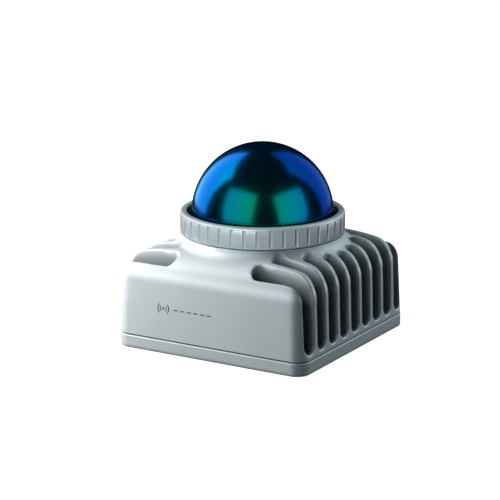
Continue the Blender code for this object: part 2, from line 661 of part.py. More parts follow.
def connector():
    at = (0, 0, CONNECTOR_HEIGHT)
    flange_front = CONNECTOR_SEAT + CONNECTOR_FLANGE
    tail = HALF_WIDTH - CONNECTOR_TAIL
    sleeve = CONNECTOR_RADIUS - 0.2 * MM
    tip = 0.4 * MM
    profile = ((CONNECTOR_RADIUS - tip, CONNECTOR_TIP), (CONNECTOR_RADIUS, CONNECTOR_TIP - tip),
               (CONNECTOR_RADIUS, flange_front), (CONNECTOR_FLANGE_RADIUS, flange_front),
               (CONNECTOR_FLANGE_RADIUS, CONNECTOR_SEAT), (sleeve, CONNECTOR_SEAT),
               (sleeve, tail), (CONNECTOR_BORE, tail), (CONNECTOR_BORE, CONNECTOR_TIP))
    shell = piece("connector_shell", turned(profile, MEDIUM, "Y"), "steel", at)
    seal_bore = CONNECTOR_RADIUS + 0.7 * MM
    seal_radius = CONNECTOR_FLANGE_RADIUS - 0.8 * MM
    seal_depth = 0.4 * MM
    cut_from(shell, "connector_groove_cutter",
             washer(seal_bore - GAP / 2, seal_radius + GAP / 2, CONNECTOR_SEAT - GAP,
                    CONNECTOR_SEAT + seal_depth + GAP, axis="Y"), at)
    piece("connector_seal", washer(seal_bore, seal_radius, CONNECTOR_SEAT,
                                   CONNECTOR_SEAT + seal_depth, axis="Y"), "rubber", at)
    nut_top = CAVITY_HALF_Y - GAP
    nut = piece("connector_nut", prism(circle(NUT_RADIUS, 6), nut_top - NUT_HEIGHT, nut_top, "Y"),
                "brass", at)
    cut_from(nut, "nut_bore_cutter",
             prism(circle(CONNECTOR_RADIUS + 0.1 * MM, MEDIUM), nut_top - NUT_HEIGHT - GAP,
                   nut_top + GAP, "Y"), at)
    body_radius = CONNECTOR_BORE - GAP
    insert = piece("connector_insert", prism(circle(body_radius, MEDIUM), INSERT_BACK,
                                             INSERT_FRONT, "Y"), "black_plastic", at)
    cut_from(insert, "contact_hole_cutter", merged(
        [prism(circle(CONTACT_RADIUS + GAP, 8, x, y), INSERT_BACK - GAP, INSERT_FRONT + GAP, "Y")
         for x, y in contact_places()]), at)
    carrier_front = INSERT_BACK - GAP
    contacts = piece("connector_contacts",
                     prism(circle(body_radius, MEDIUM), carrier_front - 2.0 * MM, carrier_front,
                           "Y"), "gold", at)
    add_to(contacts, "contact_forms", merged(
        [prism(circle(CONTACT_RADIUS, 8, x, y), carrier_front - 1.0 * MM, CONNECTOR_TIP - 1.4 * MM,
               "Y") for x, y in contact_places()]), at)


# ---------------------------------------------------------------- boards

def drilled_board(name, half_width, bottom, top, places, hole_radius):
    board = piece(name, prism(rounded_square(half_width, half_width, 1.5 * MM, 3), bottom, top),
                  "green_board")
    if places:
        cut_from(board, f"{name}_hole_cutter", merged(
            [prism(circle(hole_radius, COARSE, x, y), bottom - GAP, top + GAP)
             for x, y in places]))
    return board


def boards():
    holes = four(BOARD_HOLE_PITCH, BOARD_HOLE_PITCH)
    drilled_board("main_board", BOARD_WIDTH / 2, BOARD_BOTTOM, BOARD_TOP, holes,
                  BOARD_SCREW_RADIUS + GAP)
    standoff_top = BOARD_BOTTOM - GAP
    head = BOARD_TOP + GAP
    screw = ((0, head + BOARD_SCREW_HEAD_HEIGHT), (BOARD_SCREW_HEAD, head + BOARD_SCREW_HEAD_HEIGHT),
             (BOARD_SCREW_HEAD, head), (BOARD_SCREW_RADIUS, head),
             (BOARD_SCREW_RADIUS, head - BOARD_SCREW_DEPTH), (0, head - BOARD_SCREW_DEPTH))
    for number, (x, y) in enumerate(holes, 1):
        standoff = piece(f"board_standoff_{number}",
                         prism(circle(STANDOFF_RADIUS, 6), HOUSING_BOTTOM, standoff_top), "brass",
                         (x, y, 0))
        cut_from(standoff, f"standoff_{number}_hole_cutter",
                 prism(circle(BOARD_SCREW_RADIUS + GAP, COARSE),
                       head - BOARD_SCREW_DEPTH - GAP, standoff_top + GAP), (x, y, 0))
        piece(f"board_screw_{number}", turned(screw, COARSE, closed=False), "steel", (x, y, 0))

    half_chip = CHIP_WIDTH / 2
    chip_bottom = BOARD_BOTTOM - GAP - CHIP_THICKNESS
    piece("processor_chip", block((-half_chip, -half_chip, chip_bottom),
                                  (half_chip, half_chip, BOARD_BOTTOM - GAP)), "black_plastic")
    piece("thermal_pad", block((-half_chip, -half_chip, HOUSING_BOTTOM),
                               (half_chip, half_chip, chip_bottom - GAP)), "silicone_pad")
    floor = BOARD_TOP + GAP
    piece("memory_chip", block((-18 * MM, -6 * MM, floor), (-10.5 * MM, 6 * MM, floor + 1.1 * MM)),
          "black_plastic")
    piece("network_transformer", block((10.5 * MM, -6.5 * MM, floor),
                                       (18 * MM, 6.5 * MM, floor + 4.2 * MM)), "black_plastic")
    piece("motion_sensor_chip", block((-2 * MM, -17 * MM, floor), (2 * MM, -13 * MM, floor + MM)),
          "black_plastic")
    piece("board_link", block((-7 * MM, -2.5 * MM, floor), (7 * MM, 2.5 * MM, floor + LINK_HEIGHT)),
          "black_plastic")
    drilled_board("laser_board", LASER_BOARD_WIDTH / 2, LASER_BOARD_BOTTOM, LASER_BOARD_TOP, [], 0)
    deck = LASER_BOARD_TOP + GAP
    emitter = ((0, deck + 2.2 * MM), (1.2 * MM, deck + 2.2 * MM), (1.6 * MM, deck + 1.8 * MM),
               (1.6 * MM, deck + 0.6 * MM), (2.2 * MM, deck + 0.6 * MM), (2.2 * MM, deck), (0, deck))
    piece("laser_emitter", turned(emitter, COARSE, closed=False), "gold", (3.0 * MM, 0, 0))
    piece("receiver_sensor", block((-5.0 * MM, -2.2 * MM, deck), (-0.6 * MM, 2.2 * MM,
                                                                   deck + 1.4 * MM)),
          "black_plastic")
    harness()


def harness():
    """Flat bundle of wires from the connector's tail down to the main board."""
    tail = HALF_WIDTH - CONNECTOR_TAIL - GAP
    floor = BOARD_TOP + GAP
    thickness = 0.8 * MM
    landing = BOARD_WIDTH / 2 - 2.5 * MM
    outline = ((floor, landing), (floor, landing - 1.2 * MM), (floor + 2.9 * MM, tail - thickness),
               (CONNECTOR_HEIGHT + 1.0 * MM, tail - thickness), (CONNECTOR_HEIGHT + 1.0 * MM, tail),
               (floor + 2.6 * MM, tail))
    points = [(-z, y) for z, y in outline]
    piece("wire_harness", prism(points, -3.5 * MM, 3.5 * MM, "X"), "wire_sleeve")


# ---------------------------------------------------------------- motor

def tooth_outline(core_radius, radius, teeth):
    """Round core with straight teeth that widen at their tips."""
    points = []
    pitch = 2 * math.pi / teeth
    tip = radius - 1.2 * MM
    for tooth in range(teeth):
        middle = tooth * pitch
        for reach, share in ((core_radius, -0.20), (tip, -0.14), (tip, -0.40), (radius, -0.40),
                             (radius, 0.0), (radius, 0.40), (tip, 0.40), (tip, 0.14),
                             (core_radius, 0.20)):
            angle = middle + share * pitch
            points.append((reach * math.cos(angle), reach * math.sin(angle)))
    return points


def motor():
    """Fixed side of the hollow-shaft motor that turns the scan head."""
    half = MOTOR_PLATE_WIDTH / 2
    places = four(MOTOR_HOLE_PITCH, MOTOR_HOLE_PITCH)
    mount = piece("motor_mount", prism(rounded_square(half, half, 3.0 * MM, 3), MOTOR_PLATE_BOTTOM,
                                       MOTOR_PLATE_TOP), "bare_aluminium")
    shoulder = TUBE_RADIUS + TUBE_SHOULDER
    ledge = STATOR_BOTTOM - GAP
    tube = ((0, TUBE_TOP), (TUBE_RADIUS, TUBE_TOP), (TUBE_RADIUS, ledge), (shoulder, ledge),
            (shoulder, MOTOR_PLATE_TOP - 1.0 * MM), (0, MOTOR_PLATE_TOP - 1.0 * MM))
    add_to(mount, "motor_tube_form", turned(tube, MEDIUM, closed=False))
    holes = [prism(circle(TUBE_BORE, MEDIUM), MOTOR_PLATE_BOTTOM - GAP, TUBE_TOP + GAP)]
    holes += [prism(circle(MOTOR_SCREW_RADIUS + GAP, COARSE, x, y), MOTOR_PLATE_BOTTOM - GAP,
                    MOTOR_PLATE_TOP + GAP) for x, y in places]
    cut_from(mount, "motor_mount_hole_cutter", merged(holes))
    head_top = MOTOR_PLATE_BOTTOM - GAP
    screw_tip = CEILING - 2 * GAP
    screw = ((0, screw_tip), (MOTOR_SCREW_RADIUS, screw_tip), (MOTOR_SCREW_RADIUS, head_top),
             (MOTOR_SCREW_HEAD, head_top), (MOTOR_SCREW_HEAD, head_top - MOTOR_SCREW_HEAD_HEIGHT),
             (0, head_top - MOTOR_SCREW_HEAD_HEIGHT))
    for number, (x, y) in enumerate(places, 1):
        piece(f"motor_screw_{number}", turned(screw, COARSE, closed=False), "steel", (x, y, 0))

    core = TUBE_RADIUS + GAP + STATOR_CORE_WIDTH
    stator = piece("motor_stator", prism(tooth_outline(core, STATOR_RADIUS, STATOR_TEETH),
                                         STATOR_BOTTOM, STATOR_TOP), "copper")
    cut_from(stator, "stator_bore_cutter", prism(circle(TUBE_RADIUS + GAP, MEDIUM),
                                                 STATOR_BOTTOM - GAP, STATOR_TOP + GAP))
    for name, bottom in (("lower_bearing", LOWER_BEARING_BOTTOM),
                         ("upper_bearing", UPPER_BEARING_BOTTOM)):
        piece(name, washer(BEARING_BORE, BEARING_RADIUS, bottom, bottom + BEARING_HEIGHT), "steel")
    coil_bottom = MOTOR_PLATE_TOP + GAP
    piece("fixed_power_coil", washer(BELL_RADIUS - COIL_WIDTH, BELL_RADIUS, coil_bottom,
                                     coil_bottom + COIL_HEIGHT), "copper")
    encoder_reader()
    optics()


def encoder_reader():
    """Fork-shaped sensor on the bore's wall that the encoder disc's edge runs through."""
    back = BORE_RADIUS - 2 * GAP
    front = back - READER_DEPTH
    middle = ENCODER_BOTTOM + ENCODER_THICKNESS / 2
    half = READER_WIDTH / 2
    reader = piece("encoder_reader", block((-half, front, middle - READER_HEIGHT / 2),
                                           (half, back, middle + READER_HEIGHT / 2)),
                   "black_plastic")
    cut_from(reader, "reader_slot_cutter",
             block((-half - MM, front - MM, middle - READER_SLOT / 2),
                   (half + MM, back - 0.5 * MM, middle + READER_SLOT / 2)))


def optics():
    """Lens tube inside the hollow shaft."""
    barrel_radius = TUBE_BORE - GAP - 0.1 * MM
    barrel_bore = barrel_radius - BARREL_WALL
    bottom = MOTOR_PLATE_BOTTOM + 0.5 * MM
    piece("lens_barrel", washer(barrel_bore, barrel_radius, bottom, bottom + BARREL_LENGTH),
          "black_plastic")
    lens_radius = barrel_bore - GAP
    middle = bottom + 0.65 * BARREL_LENGTH
    bulge = (LENS_THICKNESS - LENS_EDGE) / 2
    steps = 3
    upper = [(lens_radius * step / steps, middle + LENS_EDGE / 2 + bulge * (1 - (step / steps) ** 2))
             for step in range(steps + 1)]
    lower = [(radius, 2 * middle - height) for radius, height in reversed(upper)]
    piece("objective_lens", turned(upper + lower, MEDIUM, closed=False), "lens_glass")


# ---------------------------------------------------------------- scan head

def scan_head(head_axis):
    """Everything that turns about Z, apart from the mirror."""
    bell_bottom = STATOR_BOTTOM + 0.2 * MM
    profile = ((BELL_RADIUS, WEB_TOP), (BELL_RADIUS, bell_bottom), (BELL_BORE, bell_bottom),
               (BELL_BORE, WEB_BOTTOM), (HUB_BORE, WEB_BOTTOM), (HUB_BORE, PLATFORM_BOTTOM),
               (LIGHT_HOLE_RADIUS, PLATFORM_BOTTOM), (LIGHT_HOLE_RADIUS, PLATFORM_TOP),
               (PLATFORM_RADIUS, PLATFORM_TOP), (PLATFORM_RADIUS, PLATFORM_BOTTOM),
               (HUB_RADIUS, PLATFORM_BOTTOM), (HUB_RADIUS, WEB_TOP))
    piece("rotor_hub", turned(profile, ROUND), "bare_aluminium", parent=head_axis)
    piece("magnet_ring", washer(MAGNET_BORE, MAGNET_BORE + MAGNET_WIDTH, bell_bottom,
                                WEB_BOTTOM - GAP), "magnet", parent=head_axis)
    coil_top = bell_bottom - GAP
    piece("turning_power_coil", washer(BELL_RADIUS - COIL_WIDTH, BELL_RADIUS,
                                       coil_top - COIL_HEIGHT, coil_top), "copper",
          parent=head_axis)
    piece("encoder_disc", washer(HUB_RADIUS + GAP, BORE_RADIUS - ENCODER_SPACE, ENCODER_BOTTOM,
                                 ENCODER_BOTTOM + ENCODER_THICKNESS), "steel", parent=head_axis)
    mirror_yoke(head_axis)
    mirror_drive(head_axis)


def mirror_yoke(head_axis):
    """Base ring with two arms that hold the mirror's axle."""
    yoke = piece("mirror_yoke", prism(circle(YOKE_BASE_RADIUS, MEDIUM), YOKE_BOTTOM, YOKE_FLOOR),
                 "bare_aluminium", parent=head_axis)
    top = MIRROR_AXIS_HEIGHT + YOKE_ARM_TOP
    half = YOKE_ARM_WIDTH / 2
    arms = []
    for low, high in ((ARM_INSIDE, ARM_OUTSIDE), (-ARM_OUTSIDE, -ARM_INSIDE)):
        arms.append(block((low, -half, YOKE_BOTTOM + 0.5 * MM), (high, half, top)))
    add_to(yoke, "yoke_arm_forms", merged(arms))
    hole_radius = SMALL_BEARING_RADIUS + GAP
    reach = ARM_OUTSIDE + MM
    through = prism(circle(hole_radius, COARSE, -MIRROR_AXIS_HEIGHT), -reach, reach, "X")
    light = prism(circle(LIGHT_HOLE_RADIUS, MEDIUM), YOKE_BOTTOM - GAP, YOKE_FLOOR + GAP)
    cut_from(yoke, "yoke_hole_cutter", merged([through, light]))


def mirror_drive(head_axis):
    """Small bearings, motor, balance weight and driver board beside the mirror."""
    at = (0, 0, MIRROR_AXIS_HEIGHT)
    inside = ARM_INSIDE + 0.1 * MM
    outside = ARM_OUTSIDE - 0.1 * MM
    for name, low, high in (("mirror_bearing_right", inside, outside),
                            ("mirror_bearing_left", -outside, -inside)):
        piece(name, washer(AXLE_RADIUS + GAP, SMALL_BEARING_RADIUS, low, high, COARSE, "X"),
              "steel", at, head_axis)
    motor_start = ARM_OUTSIDE + GAP
    piece("mirror_motor", prism(circle(MIRROR_MOTOR_RADIUS, MEDIUM), motor_start,
                                motor_start + MIRROR_MOTOR_LENGTH, "X"), "black_plastic", at,
          head_axis)
    half = WEIGHT_WIDTH / 2
    weight_bottom = YOKE_FLOOR + 1.0 * MM
    piece("balance_weight", block((-ARM_OUTSIDE - GAP - WEIGHT_THICKNESS, -half, weight_bottom),
                                  (-ARM_OUTSIDE - GAP, half, weight_bottom + WEIGHT_HEIGHT)),
          "brass", parent=head_axis)
    half = HEAD_BOARD_WIDTH / 2
    foot = YOKE_FLOOR + GAP
    piece("head_board", block((-half, HEAD_BOARD_OFFSET, foot),
                              (half, HEAD_BOARD_OFFSET + HEAD_BOARD_THICKNESS,
                               foot + HEAD_BOARD_HEIGHT)), "green_board", parent=head_axis)


def mirror(mirror_axis):
    """Faceted mirror and the axle that it turns with."""
    half = MIRROR_LENGTH / 2
    facet_turn = math.pi / MIRROR_FACETS
    drum = piece("facet_mirror", prism(circle(MIRROR_RADIUS, MIRROR_FACETS, turn=facet_turn),
                                       -half, half, "X"), "mirror_glass", parent=mirror_axis)
    cut_from(drum, "mirror_bore_cutter", prism(circle(AXLE_RADIUS + GAP, COARSE), -half - MM,
                                               half + MM, "X"))
    piece("mirror_axle", prism(circle(AXLE_RADIUS, COARSE), -ARM_OUTSIDE, ARM_OUTSIDE, "X"),
          "steel", parent=mirror_axis)


def main():
    clear_scene()
    housing()
    base_plate()
    base_fixings()
    dome_and_ring()
    connector()
    boards()
    motor()
    head_axis = axis_empty("head_axis", (0, 0, 0))
    scan_head(head_axis)
    mirror_axis = axis_empty("mirror_axis", (0, 0, MIRROR_AXIS_HEIGHT), head_axis)
    mirror(mirror_axis)


main()
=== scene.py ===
"""Looks of the lidar scanner module: fine meshes, materials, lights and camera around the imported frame."""

import json
import math

import bmesh
import bpy
import numpy as np
import openvdb
from mathutils import Matrix, Vector


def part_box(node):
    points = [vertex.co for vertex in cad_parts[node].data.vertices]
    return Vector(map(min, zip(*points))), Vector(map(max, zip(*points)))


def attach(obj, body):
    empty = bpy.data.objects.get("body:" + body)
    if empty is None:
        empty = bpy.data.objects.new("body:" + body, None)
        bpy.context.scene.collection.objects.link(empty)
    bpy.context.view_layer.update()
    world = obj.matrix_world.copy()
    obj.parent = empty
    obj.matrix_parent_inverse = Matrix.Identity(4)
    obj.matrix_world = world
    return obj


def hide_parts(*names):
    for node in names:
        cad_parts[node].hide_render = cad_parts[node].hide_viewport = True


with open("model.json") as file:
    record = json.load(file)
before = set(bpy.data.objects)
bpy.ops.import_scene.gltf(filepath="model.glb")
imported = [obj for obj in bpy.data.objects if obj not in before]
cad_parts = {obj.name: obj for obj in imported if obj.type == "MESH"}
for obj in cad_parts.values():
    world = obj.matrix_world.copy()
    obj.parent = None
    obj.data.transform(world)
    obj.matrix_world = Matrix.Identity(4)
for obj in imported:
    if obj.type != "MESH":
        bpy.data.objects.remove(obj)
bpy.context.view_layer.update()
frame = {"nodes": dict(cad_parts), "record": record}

MM = 0.001


def middles(name):
    """Middle points of four numbered fasteners."""
    boxes = [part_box(f"{name}_{number}") for number in (1, 2, 3, 4)]
    return [(low + high) / 2 for low, high in boxes]


# ---------------------------------------------------------------- sizes read from the frame

PLATE_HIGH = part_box("base_plate")[1]
HOUSING_LOW, HOUSING_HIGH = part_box("housing")
RING_LOW, RING_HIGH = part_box("retaining_ring")
DOME_LOW, DOME_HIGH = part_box("dome_window")
SHELL_LOW, SHELL_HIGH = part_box("connector_shell")

HALF = PLATE_HIGH.x
BASE_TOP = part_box("base_gasket")[1].z
HOUSING_BOTTOM = HOUSING_LOW.z
SEAT_TOP = HOUSING_HIGH.z
RING_BOTTOM = RING_LOW.z
RING_TOP = RING_HIGH.z
RING_RADIUS = RING_HIGH.x
FLANGE_RADIUS = DOME_HIGH.x
DOME_TOP = DOME_HIGH.z
CONNECTOR_HEIGHT = (SHELL_LOW.z + SHELL_HIGH.z) / 2
SCREW_PLACES = middles("base_screw")
MOTOR_PLACES = middles("motor_screw")

# ---------------------------------------------------------------- sizes that the boxes don't give

GAP = 0.3 * MM
CORNER_RADIUS = 4.5 * MM
WALL_START = 0.1 * MM
WALL_LEAN = 0.6 * MM
LEAN_HEIGHT = 19.45 * MM
EDGE_RADIUS = 4.8 * MM
ROOF_TOP = 31.15 * MM
ROOF_SPAN = 15.0 * MM
ROOF_CURVE = 20.0
ROOF_BLUR = 0.8
# Share of the depth under the roof that counts towards the painted shade in the slots.
ROOF_RECESS = 0.48
NECK_TOP = RING_BOTTOM - GAP
NECK_RADIUS = RING_RADIUS - 0.1 * MM
NECK_FILLET = 2.4 * MM
SLOT_COUNT = 9
SLOT_WIDTH = 4.95 * MM
SLOT_END_WALL = 2.55 * MM
SLOT_PITCH = (2 * HALF - 2 * SLOT_END_WALL - SLOT_WIDTH) / (SLOT_COUNT - 1)
SLOT_FLOOR_X = HALF - 8.0 * MM
SLOT_FLOOR_Z = NECK_TOP - 8.3 * MM
SLOT_SILL = HOUSING_BOTTOM + 1.45 * MM
SLOT_SHORTEST_X = 13.0 * MM
SLOT_CIRCLE = NECK_RADIUS + 0.9 * MM
SLOT_EDGE = 0.42 * MM
SLOT_FLOOR_ROUND = 2.5 * MM
CAVITY_X = SLOT_FLOOR_X - 1.5 * MM
CAVITY_Y = HALF - 4.0 * MM
CAVITY_RADIUS = 3.0 * MM
CAVITY_EDGE = 0.5 * MM
CEILING = NECK_TOP - 10.8 * MM
BORE_RADIUS = 20.8 * MM
DOME_RADIUS = 21.56 * MM
DOME_WALL = 1.5 * MM
DOME_CENTRE = DOME_TOP - DOME_RADIUS
SEAL_GROOVE_RADIUS = 22.3 * MM
SEAL_GROOVE_DEPTH = 0.8 * MM
CONNECTOR_RADIUS = 6.0 * MM
PORT_GAP = 0.1 * MM
REAR_PAD_RADIUS = 9.4 * MM
REAR_PAD_FILLET = 0.6 * MM
SCREW_HOLE_RADIUS = 1.45 * MM
SCREW_HOLE_TOP = 13.7 * MM
SCREW_BOSS_RADIUS = 3.6 * MM
MOTOR_HOLE_RADIUS = 1.3 * MM
MOTOR_BOSS_RADIUS = 2.8 * MM
MOTOR_BOSS_LENGTH = 4.2 * MM
OVERRUN = 1.0 * MM
SHARP_EDGE = 0.15 * MM
SEAT_EDGE = 0.2 * MM
SOFT_EDGE = 0.3 * MM

# ---------------------------------------------------------------- object building


def new_mesh(name, points, faces):
    mesh = bpy.data.meshes.new(name)
    mesh.from_pydata(points, [], faces)
    return mesh


def placed(name, data):
    """New object in the scene that holds a mesh, a lamp or a camera."""
    item = bpy.data.objects.new(name, data)
    bpy.context.scene.collection.objects.link(item)
    return item


# ---------------------------------------------------------------- solids from distance fields

BAND = 3.0
SURFACE_PASSES = 2
LONGEST_MOVE = 0.6
GENTLEST_SLOPE = 0.05
CENTIMETRES = 100


def round_and(a, b, radius):
    """Where both fields are inside, with a rounded outer edge."""
    corner = np.hypot(np.maximum(a + radius, 0), np.maximum(b + radius, 0))
    return np.minimum(np.maximum(a, b), -radius) + corner


def round_or(a, b, radius):
    """Where either field is inside, with a filleted inner edge."""
    return -round_and(-a, -b, radius)


def round_box(x, y, half_x, half_y, radius):
    """Distance to a rectangle with round corners."""
    qx = np.abs(x) - (half_x - radius)
    qy = np.abs(y) - (half_y - radius)
    return np.hypot(np.maximum(qx, 0), np.maximum(qy, 0)) + np.minimum(np.maximum(qx, qy), 0) - radius


def gradient(field, points, reach):
    """Field's slope at each point, from values a little to either side."""
    slope = np.empty_like(points)
    for axis in range(3):
        ahead, behind = points.copy(), points.copy()
        ahead[:, axis] += reach
        behind[:, axis] -= reach
        slope[:, axis] = (field(*ahead.T) - field(*behind.T)) / (2 * reach)
    return slope


def solid(name, field, low, high, step, adaptivity, skin):
    """Mesh of the surface where a field is zero, with points and normals set from the field.

    The attribute "recess" holds each point's depth below the skin, in centimetres; the paint turns it into
    painted shade.
    """
    start = np.array(low) - 2 * step
    counts = np.ceil((np.array(high) - start) / step).astype(int) + 3
    x, y, z = np.meshgrid(*(start[i] + step * np.arange(counts[i]) for i in range(3)),
                          indexing="ij", sparse=True)
    values = np.broadcast_to(field(x, y, z), counts) / step
    grid = openvdb.FloatGrid(BAND)
    grid.copyFromArray(np.ascontiguousarray(np.clip(values, -BAND, BAND), dtype=np.float32))
    points, triangles, quads = grid.convertToPolygons(0.0, adaptivity)
    points = points.astype(float) * step + start
    for _ in range(SURFACE_PASSES):
        slope = gradient(field, points, 0.1 * step)
        error = field(*points.T)
        move = error / np.maximum((slope ** 2).sum(1), GENTLEST_SLOPE)
        points -= np.clip(move, -LONGEST_MOVE * step, LONGEST_MOVE * step)[:, None] * slope
    slope = gradient(field, points, 0.15 * step)
    normals = slope / np.maximum(np.linalg.norm(slope, axis=1), 1e-9)[:, None]
    faces = [tuple(face) for face in quads.tolist()] + [tuple(face) for face in triangles.tolist()]
    mesh = new_mesh(name, points.tolist(), faces)
    mesh.validate()
    work = bmesh.new()
    work.from_mesh(mesh)
    if work.calc_volume(signed=True) < 0:
        bmesh.ops.reverse_faces(work, faces=work.faces)
    work.to_mesh(mesh)
    work.free()
    mesh.shade_smooth()
    if len(mesh.vertices) == len(normals):
        mesh.normals_split_custom_set_from_vertices(normals.tolist())
    if len(mesh.vertices) == len(points):
        recess = mesh.attributes.new("recess", "FLOAT", "POINT")
        recess.data.foreach_set("value", np.maximum(-skin(*points.T), 0) * CENTIMETRES)
    return placed(name, mesh)


INSET_PASSES = 6
INSET_DAMPING = 1.4


def inset_of(x, y):
    """How far in from the walls a point lies, along outlines whose corners grow rounder inwards."""
    inset = HALF - np.maximum(np.abs(x), np.abs(y))
    for _ in range(INSET_PASSES):
        inside = np.maximum(inset, 0)
        half = HALF - inside
        radius = np.minimum(CORNER_RADIUS + ROOF_BLUR * inside, half)
        inset = inside - round_box(x, y, half, half, radius) / INSET_DAMPING
    return inset


def wall_lean(z):
    """How far the walls have leaned in at a height."""
    return WALL_START + WALL_LEAN * (z - HOUSING_BOTTOM) / LEAN_HEIGHT


def wall_field(x, y, z):
    """Walls that lean in a little, with round corners."""
    lean = wall_lean(z)
    return round_box(x, y, HALF - lean, HALF - lean, CORNER_RADIUS)


def roof_field(x, y, z):
    """Roof that falls away in a curve towards the walls."""
    rise = np.maximum(ROOF_SPAN - inset_of(x, y), 0)
    slope = 2 * ROOF_CURVE * rise
    return (z - (ROOF_TOP - ROOF_CURVE * rise ** 2)) / np.sqrt(1 + slope ** 2)


def recess_field(x, y, z):
    """Depth behind the walls, or a share of the depth under the roof where that is less; it sets how the
    painted shade in the slots falls.
    """
    return np.maximum(wall_field(x, y, z), ROOF_RECESS * roof_field(x, y, z))


def skin_field(x, y, z):
    """Outside of the housing without its slots: walls, roof, neck and rear pad."""
    body = round_and(wall_field(x, y, z), roof_field(x, y, z), EDGE_RADIUS)
    around = np.hypot(x, y)
    neck = round_and(around - NECK_RADIUS, z - NECK_TOP, SOFT_EDGE)
    body = round_or(body, neck, NECK_FILLET)
    body = np.minimum(body, round_and(around - FLANGE_RADIUS, z - SEAT_TOP, SEAT_EDGE))
    pad = np.hypot(x, z - CONNECTOR_HEIGHT) - REAR_PAD_RADIUS
    pad = np.maximum(round_and(pad, y - HALF, SOFT_EDGE), CAVITY_Y - y)
    body = round_or(body, pad, REAR_PAD_FILLET)
    return round_and(body, HOUSING_BOTTOM - z, SHARP_EDGE)


def slot_field(x, y, z):
    """Inside of the nearest cooling slot."""
    last = (SLOT_COUNT - 1) / 2
    middle = np.clip(np.round(y / SLOT_PITCH), -last, last) * SLOT_PITCH
    across = y - middle
    inner = np.maximum(SLOT_SHORTEST_X, np.sqrt(np.maximum(SLOT_CIRCLE ** 2 - middle ** 2, 0)))
    half = SLOT_WIDTH / 2
    plan = np.hypot(np.maximum(inner + half - np.abs(x), 0), across) - half
    side = np.hypot(np.maximum(SLOT_SILL + half - z, 0), across) - half
    core = round_and(np.abs(x) - SLOT_FLOOR_X, z - SLOT_FLOOR_Z, SLOT_FLOOR_ROUND)
    return np.maximum(np.maximum(plan, side), -core)


def housing_field(x, y, z):
    """Housing with its slots, cavity, bore, screw bosses and holes, connector port and seal groove."""
    body = round_and(skin_field(x, y, z), -slot_field(x, y, z), SLOT_EDGE)
    around = np.hypot(x, y)
    cavity = round_and(round_box(x, y, CAVITY_X, CAVITY_Y, CAVITY_RADIUS), z - CEILING, CAVITY_EDGE)
    hollow = np.minimum(cavity, np.maximum(around - BORE_RADIUS, CEILING - OVERRUN - z))
    body = np.maximum(body, -hollow)
    for places, radius, foot in ((SCREW_PLACES, SCREW_BOSS_RADIUS, HOUSING_BOTTOM + GAP),
                                 (MOTOR_PLACES, MOTOR_BOSS_RADIUS, CEILING - MOTOR_BOSS_LENGTH)):
        for place in places:
            boss = np.hypot(x - place.x, y - place.y) - radius
            boss = np.maximum(np.maximum(boss, foot - z), z - CEILING - OVERRUN)
            body = np.minimum(body, boss)
    for places, radius, top in ((SCREW_PLACES, SCREW_HOLE_RADIUS, SCREW_HOLE_TOP),
                                (MOTOR_PLACES, MOTOR_HOLE_RADIUS, CEILING - GAP)):
        for place in places:
            hole = np.maximum(np.hypot(x - place.x, y - place.y) - radius, z - top)
            body = np.maximum(body, -hole)
    port = np.hypot(x, z - CONNECTOR_HEIGHT) - CONNECTOR_RADIUS - PORT_GAP
    body = np.maximum(body, -np.maximum(port, CAVITY_Y - OVERRUN - y))
    groove = np.abs(around - SEAL_GROOVE_RADIUS) - SEAL_GROOVE_DEPTH
    groove = np.maximum(groove, SEAT_TOP - SEAL_GROOVE_DEPTH - z)
    return np.maximum(body, -groove)


# ---------------------------------------------------------------- materials

def new_material(name):
    made = bpy.data.materials.new(name)
    made.use_nodes = True
    tree = made.node_tree
    return made, tree, tree.nodes["Principled BSDF"]


def noise(tree, scale, detail=3.0, roughness=0.6):
    """Noise that is fixed to the object's own coordinates."""
    place = tree.nodes.get("Texture Coordinate") or tree.nodes.new("ShaderNodeTexCoord")
    node = tree.nodes.new("ShaderNodeTexNoise")
    node.inputs["Scale"].default_value = scale
    node.inputs["Detail"].default_value = detail
    node.inputs["Roughness"].default_value = roughness
    tree.links.new(place.outputs["Object"], node.inputs["Vector"])
    return node


def ramp(tree, source, stops):
    """Colour ramp over a value, given as (position, colour or grey) stops."""
    node = tree.nodes.new("ShaderNodeValToRGB")
    elements = node.color_ramp.elements
    while len(elements) < len(stops):
        elements.new(0.5)
    for element, (position, colour) in zip(elements, stops):
        element.position = position
        grey = not hasattr(colour, "__len__")
        element.color = (colour, colour, colour, 1) if grey else (*colour, 1)
    tree.links.new(source, node.inputs["Fac"])
    return node


def bump(tree, source, strength, distance):
    node = tree.nodes.new("ShaderNodeBump")
    node.inputs["Strength"].default_value = strength
    node.inputs["Distance"].default_value = distance
    tree.links.new(source, node.inputs["Height"])
    return node


def shade(colour, amount):
    return tuple(min(max(channel * amount, 0), 1) for channel in colour)


def textured(name, colour, metallic, rough, grain, vary=0.05, relief_depth=0.01 * MM):
    """Matt or machined surface: colour drift, uneven roughness and a fine grain."""
    made, tree, shader = new_material(name)
    shader.inputs["Metallic"].default_value = metallic
    drift = noise(tree, 90.0, 4.0)
    tint = ramp(tree, drift.outputs["Fac"], ((0.3, shade(colour, 1 - vary)),
                                             (0.7, shade(colour, 1 + vary))))
    tree.links.new(tint.outputs["Color"], shader.inputs["Base Color"])
    fine = noise(tree, grain, 3.0, 0.7)
    uneven = ramp(tree, fine.outputs["Fac"], ((0.25, rough - 0.06), (0.75, rough + 0.06)))
    tree.links.new(uneven.outputs["Color"], shader.inputs["Roughness"])
    relief = bump(tree, fine.outputs["Fac"], 0.5, relief_depth)
    tree.links.new(relief.outputs["Normal"], shader.inputs["Normal"])
    return made


# Painted shade: depth below the skin in centimetres, and the share of the coat's colour kept there.
RECESS_PAINTED_SHADE = ((0.03, 1.0), (0.11, 0.52), (0.28, 0.24))
MIX_FIRST_COLOUR, MIX_SECOND_COLOUR, MIX_RESULT_COLOUR = 6, 7, 2


